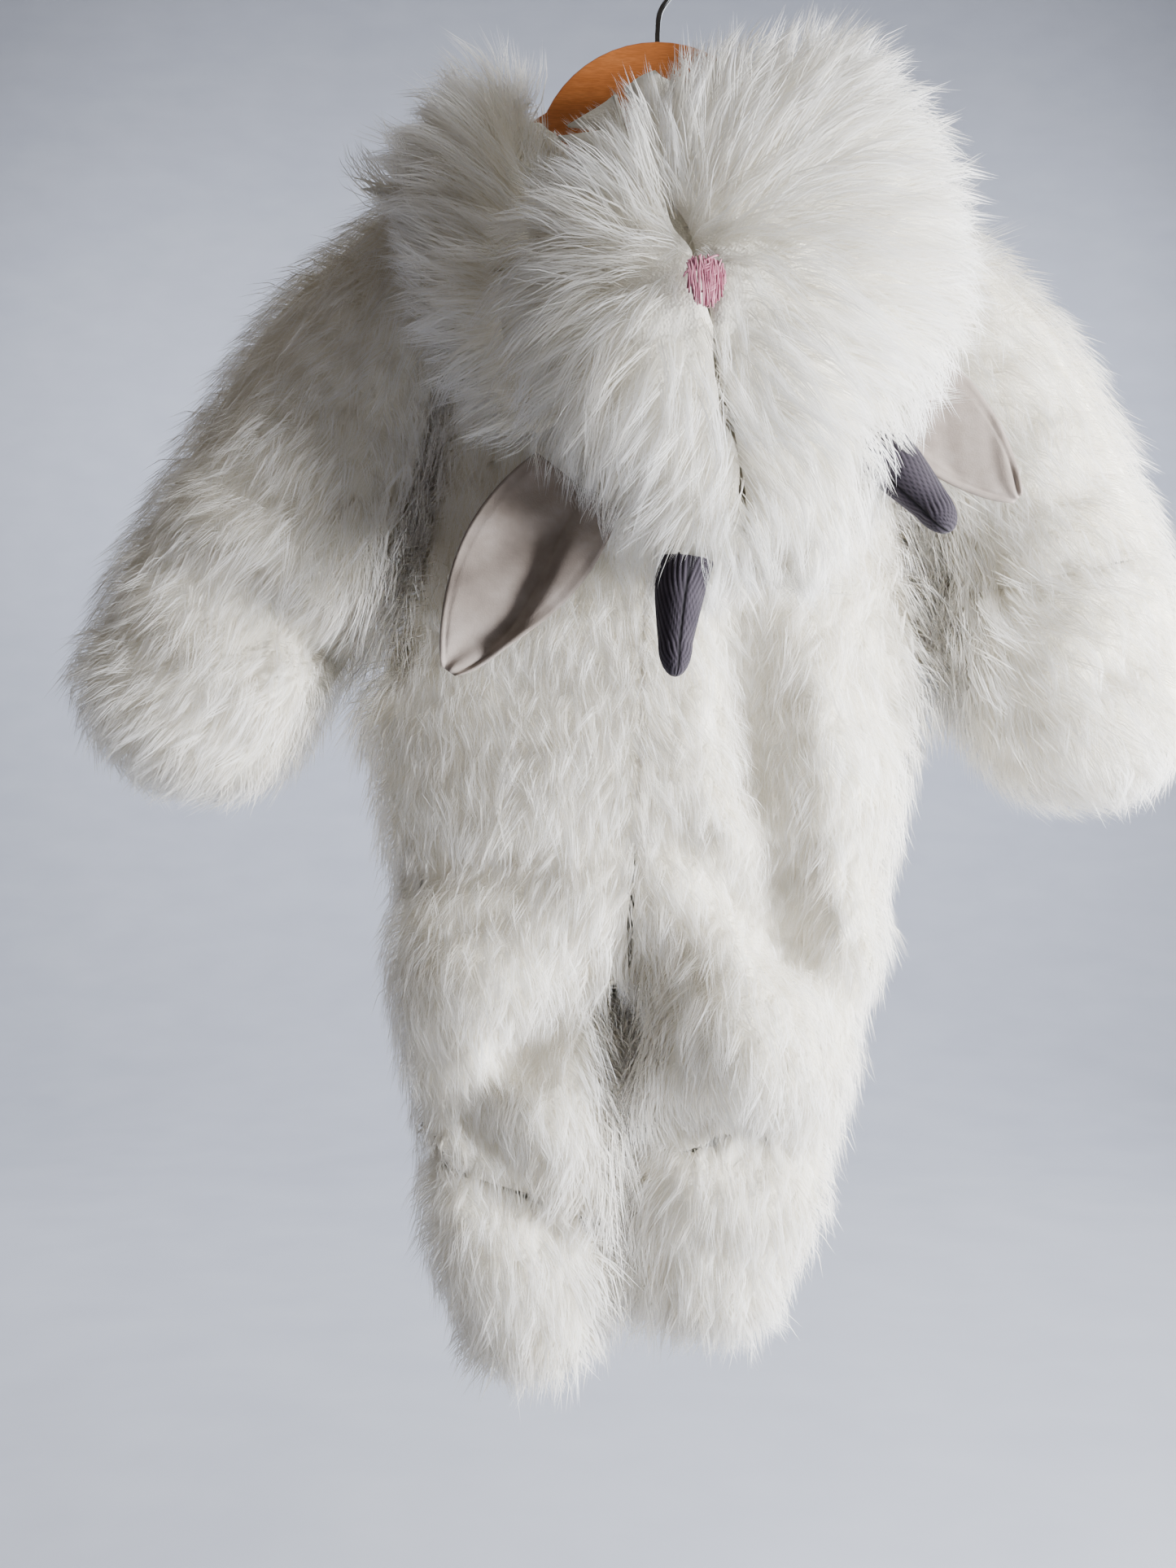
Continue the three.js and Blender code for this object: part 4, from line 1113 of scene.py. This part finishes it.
def ear(name, holder, x, y, z, tilt, turn, length, width, crease1, crease2, fold, settle, start):
    lean, spin, bend, rest = (math.radians(a) for a in (tilt, turn, abs(fold), settle))
    along = Vector((math.sin(lean), 0, -math.cos(lean)))
    level = Vector((math.cos(lean), 0, math.sin(lean)))
    toward = Vector((0, -1, 0))
    across = level * math.cos(spin) + along.cross(level) * math.sin(spin)
    toward = toward * math.cos(spin) + along.cross(toward) * math.sin(spin)
    way = 1 if fold > 0 else -1
    rng = random.Random(name)
    waves = [(rng.uniform(0, 6.28), rng.uniform(14, 30), rng.uniform(0.4, 0.9)) for _ in range(4)]
    vertices = []
    for layer in (-1, 1):
        for row in range(LEAF_ROWS + 1):
            t = start + (1 - start) * row / LEAF_ROWS
            middle = Vector((x, y, z)) + along * length * t
            half = width / 2 * math.sin(math.pi * (LEAF_START + LEAF_SPAN * t)) ** LEAF_FULLNESS
            crease = crease1 + (crease2 - crease1) * t
            for column in range(LEAF_COLUMNS + 1):
                u = 2 * column / LEAF_COLUMNS - 1
                beyond = max((u - crease) * way, 0) * half
                flat = min((u - crease) * way, 0) * half
                right, up, angle = rolled(beyond, bend, rest)
                place = crease * half + way * (flat + right)
                wave = sum(height * math.sin(phase + (column * 2.2 + row * 2.6) / size * 6.28 / 2)
                           for phase, size, height in waves)
                rim = 1 - abs(u) ** 14
                tip = 1 - (row / LEAF_ROWS) ** 18
                puff = EAR_THICK / 2 * (0.35 + 0.65 * rim * tip)
                stitched = math.exp(-(((1 - abs(u)) * half - 3.2) / 0.7) ** 2)
                puff *= 1 - 0.5 * stitched
                normal = toward * math.cos(angle) - across * way * math.sin(angle)
                point = middle + across * place + toward * (up + wave * 0.5) + normal * layer * puff
                vertices.append(point * MM)
    size = (LEAF_ROWS + 1) * (LEAF_COLUMNS + 1)
    faces = []
    for row in range(LEAF_ROWS):
        for column in range(LEAF_COLUMNS):
            a = row * (LEAF_COLUMNS + 1) + column
            b, c, d = a + 1, a + LEAF_COLUMNS + 2, a + LEAF_COLUMNS + 1
            faces.append((a, b, c, d))
            faces.append((size + d, size + c, size + b, size + a))
    border = list(range(LEAF_COLUMNS))
    border += [row * (LEAF_COLUMNS + 1) + LEAF_COLUMNS for row in range(LEAF_ROWS)]
    border += [LEAF_ROWS * (LEAF_COLUMNS + 1) + column for column in range(LEAF_COLUMNS, 0, -1)]
    border += [row * (LEAF_COLUMNS + 1) for row in range(LEAF_ROWS, 0, -1)]
    for a, b in zip(border, border[1:] + border[:1]):
        faces.append((b, a, size + a, size + b))
    piece = mesh_object(name + "_cloth", vertices, faces, suede)
    turn_faces_outward(piece.data)
    take_the_place_of(name, piece)


for name, settings in EARS.items():
    ear(name, **settings)

# %% [markdown]
# ## The nose
#
# The nose is worked in pink thread through the cloth: a low pad of stitches, most of them from top to
# bottom, with a few across them. Each stitch is a small round thread that arches over the pad.

# %% Build the nose
THREAD = 0.85
low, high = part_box("nose")
NOSE_MIDDLE = (Vector(low) + Vector(high)) / 2 / MM
NOSE_LEAN = math.radians(7)


def nose_half_width(v):
    """Half the width of the nose at a height v from -1 to 1. It is widest near the top."""
    return NOSE_HALF_WIDTH * (1 - 0.32 * ((1 - v) / 2) ** 1.5) * math.sqrt(max(1 - abs(v) ** 3.2, 0))


def on_pad(u, v, lift):
    """A point on the pad, u across and v up in mm, and lift above it."""
    dome = 1.6 * (1 - (u / NOSE_HALF_WIDTH) ** 2 * 0.8 - (v / NOSE_HALF_HEIGHT) ** 2 * 0.8)
    x = NOSE_MIDDLE.x + u * math.cos(NOSE_LEAN) - v * math.sin(NOSE_LEAN) * 0.4
    return Vector((x, NOSE_MIDDLE.y + 1.4 - dome - lift, NOSE_MIDDLE.z + v))


def stitch(vertices, faces, marks, start, end, mark):
    """A thread from one place of the pad to another, with five sides, that dips in at both ends."""
    steps, sides = 6, 5
    first = len(vertices)
    run = (Vector((end[0], 0, end[1])) - Vector((start[0], 0, start[1]))).normalized()
    across = Vector((-run.z, 0, run.x))
    for i in range(steps + 1):
        t = i / steps
        u, v = start[0] + (end[0] - start[0]) * t, start[1] + (end[1] - start[1]) * t
        lift = 0.75 * math.sin(math.pi * t) ** 0.5 - 0.5
        middle = on_pad(u, v, lift)
        for k in range(sides):
            angle = 2 * math.pi * k / sides
            ring = across * math.cos(angle) + Vector((0, -1, 0)) * math.sin(angle)
            vertices.append((middle + ring * THREAD / 2) * MM)
            marks.append(mark)
    for i in range(steps):
        for k in range(sides):
            a, b = first + i * sides + k, first + i * sides + (k + 1) % sides
            faces.append((a, b, b + sides, a + sides))
    faces.append(tuple(first + k for k in range(sides)))
    faces.append(tuple(first + steps * sides + k for k in reversed(range(sides))))


# %% Work the nose
STITCHES_IN_LAYER, STITCHES_ACROSS = 22, 9
rng = random.Random(5)
vertices, faces, marks = [], [], []
for layer in range(3):
    for i in range(STITCHES_IN_LAYER):
        u = NOSE_HALF_WIDTH * (2 * (i + rng.uniform(0.1, 0.9)) / STITCHES_IN_LAYER - 1) * 0.95
        top = next((v for v in np.arange(1, -1, -0.05) if nose_half_width(v) >= abs(u)), None)
        foot = next((v for v in np.arange(-1, 1, 0.05) if nose_half_width(v) >= abs(u)), None)
        if top is None or foot is None:
            continue
        a = NOSE_HALF_HEIGHT * (top - rng.uniform(0, 0.2))
        b = NOSE_HALF_HEIGHT * (foot + rng.uniform(0, 0.2))
        cut = b + (a - b) * rng.uniform(0.3, 0.7) if layer else b
        slant = rng.uniform(-2.2, 2.2)
        start, end = (u + slant * 0.4, a), (u - slant * 0.4, cut)
        if layer == 1:
            start, end = (u, cut), (u + slant * 0.5, b)
        stitch(vertices, faces, marks, start, end, rng.random())
for i in range(STITCHES_ACROSS):
    v = NOSE_HALF_HEIGHT * rng.uniform(-0.6, 0.8)
    half = nose_half_width(v / NOSE_HALF_HEIGHT) * 0.8
    u = rng.uniform(-0.6, 0.2) * half
    stitch(vertices, faces, marks, (u, v), (min(u + 6.5, half), v + rng.uniform(1.5, 4)), rng.random())
nose = mesh_object("nose_stitches", vertices, faces, thread)
add_values(nose.data, "lock", marks)
take_the_place_of("nose", nose)
print("nose:", len(nose.data.polygons), "faces")

# %% [markdown]
# ## Wood and wire
#
# The hanger is cut from flat board, so its grain runs level from arm to arm, and the stain makes it
# orange-brown under a clear varnish. A Bevel modifier rounds the frame's own board. The hook is plated
# wire, and is built again as a smooth tube, because the frame's wire has few sides.

# %% Wood
wood, tree, shader = new_material("varnished_beech", 0.3, {"Coat Weight": 0.6, "Coat Roughness": 0.12})
coords = add_node(tree, "ShaderNodeTexCoord")
stretched = add_node(tree, "ShaderNodeMapping", links={"Vector": coords.outputs["Object"]})
stretched.inputs["Scale"].default_value = (0.12, 1.0, 1.0)
grain = add_node(tree, "ShaderNodeTexNoise", values={"Scale": 260.0, "Detail": 6.0, "Roughness": 0.65},
                 links={"Vector": stretched.outputs["Vector"]})
flecks = add_node(tree, "ShaderNodeTexNoise", values={"Scale": 1500.0, "Detail": 2.0},
                  links={"Vector": stretched.outputs["Vector"]})
board = colour_ramp(tree, grain.outputs["Fac"], [(0.25, "#BC6E36"), (0.5, "#CA7A40"), (0.75, "#D6884C")])
speck = colour_ramp(tree, flecks.outputs["Fac"], [(0.42, "#C8B8AC"), (0.6, "#FFFFFF")])
tree.links.new(multiply(tree, board, speck, 0.4), shader.inputs["Base Color"])
add_bump(tree, shader, grain.outputs["Fac"], 0.15, 0.2 * MM)

# %% Hanger
EDGE_ROUND = 1.6 * MM
copy = merged_copy("hanger")
bmesh.ops.dissolve_limit(copy, angle_limit=math.radians(4), verts=copy.verts, edges=copy.edges)
board_mesh = bpy.data.meshes.new("hanger_board")
copy.to_mesh(board_mesh)
copy.free()
board_mesh.materials.append(wood)
board_piece = in_scene("hanger_board", board_mesh)
rounding = board_piece.modifiers.new("rounding", "BEVEL")
rounding.width = EDGE_ROUND
rounding.segments = 4
rounding.limit_method = "ANGLE"
rounding.angle_limit = math.radians(50)
rounding.use_clamp_overlap = True
evaluated = board_piece.evaluated_get(bpy.context.evaluated_depsgraph_get())
rounded_mesh = bpy.data.meshes.new_from_object(evaluated)
board_piece.modifiers.clear()
board_piece.data = rounded_mesh
take_the_place_of("hanger", board_piece)

# %% Hook
chrome, tree, shader = new_material("chrome_plated_wire", 0.14, {"Metallic": 1.0})
smear = on_the_piece(tree, "ShaderNodeTexNoise", {"Scale": 180.0, "Detail": 4.0})
tree.links.new(
    colour_ramp(tree, smear.outputs["Fac"], [(0.3, "#8E9197"), (0.7, "#A6A9AE")]),
    shader.inputs["Base Color"],
)
WIRE, HOOK_RADIUS, STEM_SOCKET = 3, 20, 14
BEND_START, BEND_END = -62, 205
WIRE_SIDES, BEND_STEPS = 16, 54
centre_z = WIRE / 2 - HOOK_RADIUS
route = [Vector((0, 0, WOOD_TOP_MM - STEM_SOCKET + 0.5)), Vector((0, 0, WOOD_TOP_MM))]
for i in range(1, 9):
    t = i / 9
    begin = math.radians(BEND_START)
    target = Vector((HOOK_RADIUS * math.cos(begin), 0, centre_z + HOOK_RADIUS * math.sin(begin)))
    lift = Vector((0, 0, WOOD_TOP_MM + 12))
    route.append(lift.lerp(target, t) + Vector((-2.2 * math.sin(math.pi * t), 0, 0)))
for i in range(BEND_STEPS + 1):
    angle = math.radians(BEND_START + (BEND_END - BEND_START) * i / BEND_STEPS)
    route.append(Vector((HOOK_RADIUS * math.cos(angle), 0, centre_z + HOOK_RADIUS * math.sin(angle))))
for _ in range(3):
    route = [route[0]] + [(a + b * 2 + c) / 4 for a, b, c in zip(route, route[1:], route[2:])] + [route[-1]]
vertices, faces = [], []
for i, point in enumerate(route):
    run = (route[min(i + 1, len(route) - 1)] - route[max(i - 1, 0)]).normalized()
    side = Vector((0, 1, 0))
    up = run.cross(side)
    for k in range(WIRE_SIDES):
        angle = 2 * math.pi * k / WIRE_SIDES
        vertices.append((point + (side * math.cos(angle) + up * math.sin(angle)) * WIRE / 2) * MM)
for i in range(len(route) - 1):
    for k in range(WIRE_SIDES):
        a, b = i * WIRE_SIDES + k, i * WIRE_SIDES + (k + 1) % WIRE_SIDES
        faces.append((b, a, a + WIRE_SIDES, b + WIRE_SIDES))
faces.append(tuple(range(WIRE_SIDES)))
faces.append(tuple(reversed(range((len(route) - 1) * WIRE_SIDES, len(route) * WIRE_SIDES))))
hook = mesh_object("hook_wire", vertices, faces, chrome)
take_the_place_of("hook", hook)
print("hanger and hook:", len(board_piece.data.polygons), len(hook.data.polygons), "faces")

# %% [markdown]
# ## Finish

# The dressed costume may reach a little past the frame, but no more than a wisp of fur.

# %% Update the scene
bpy.context.view_layer.update()
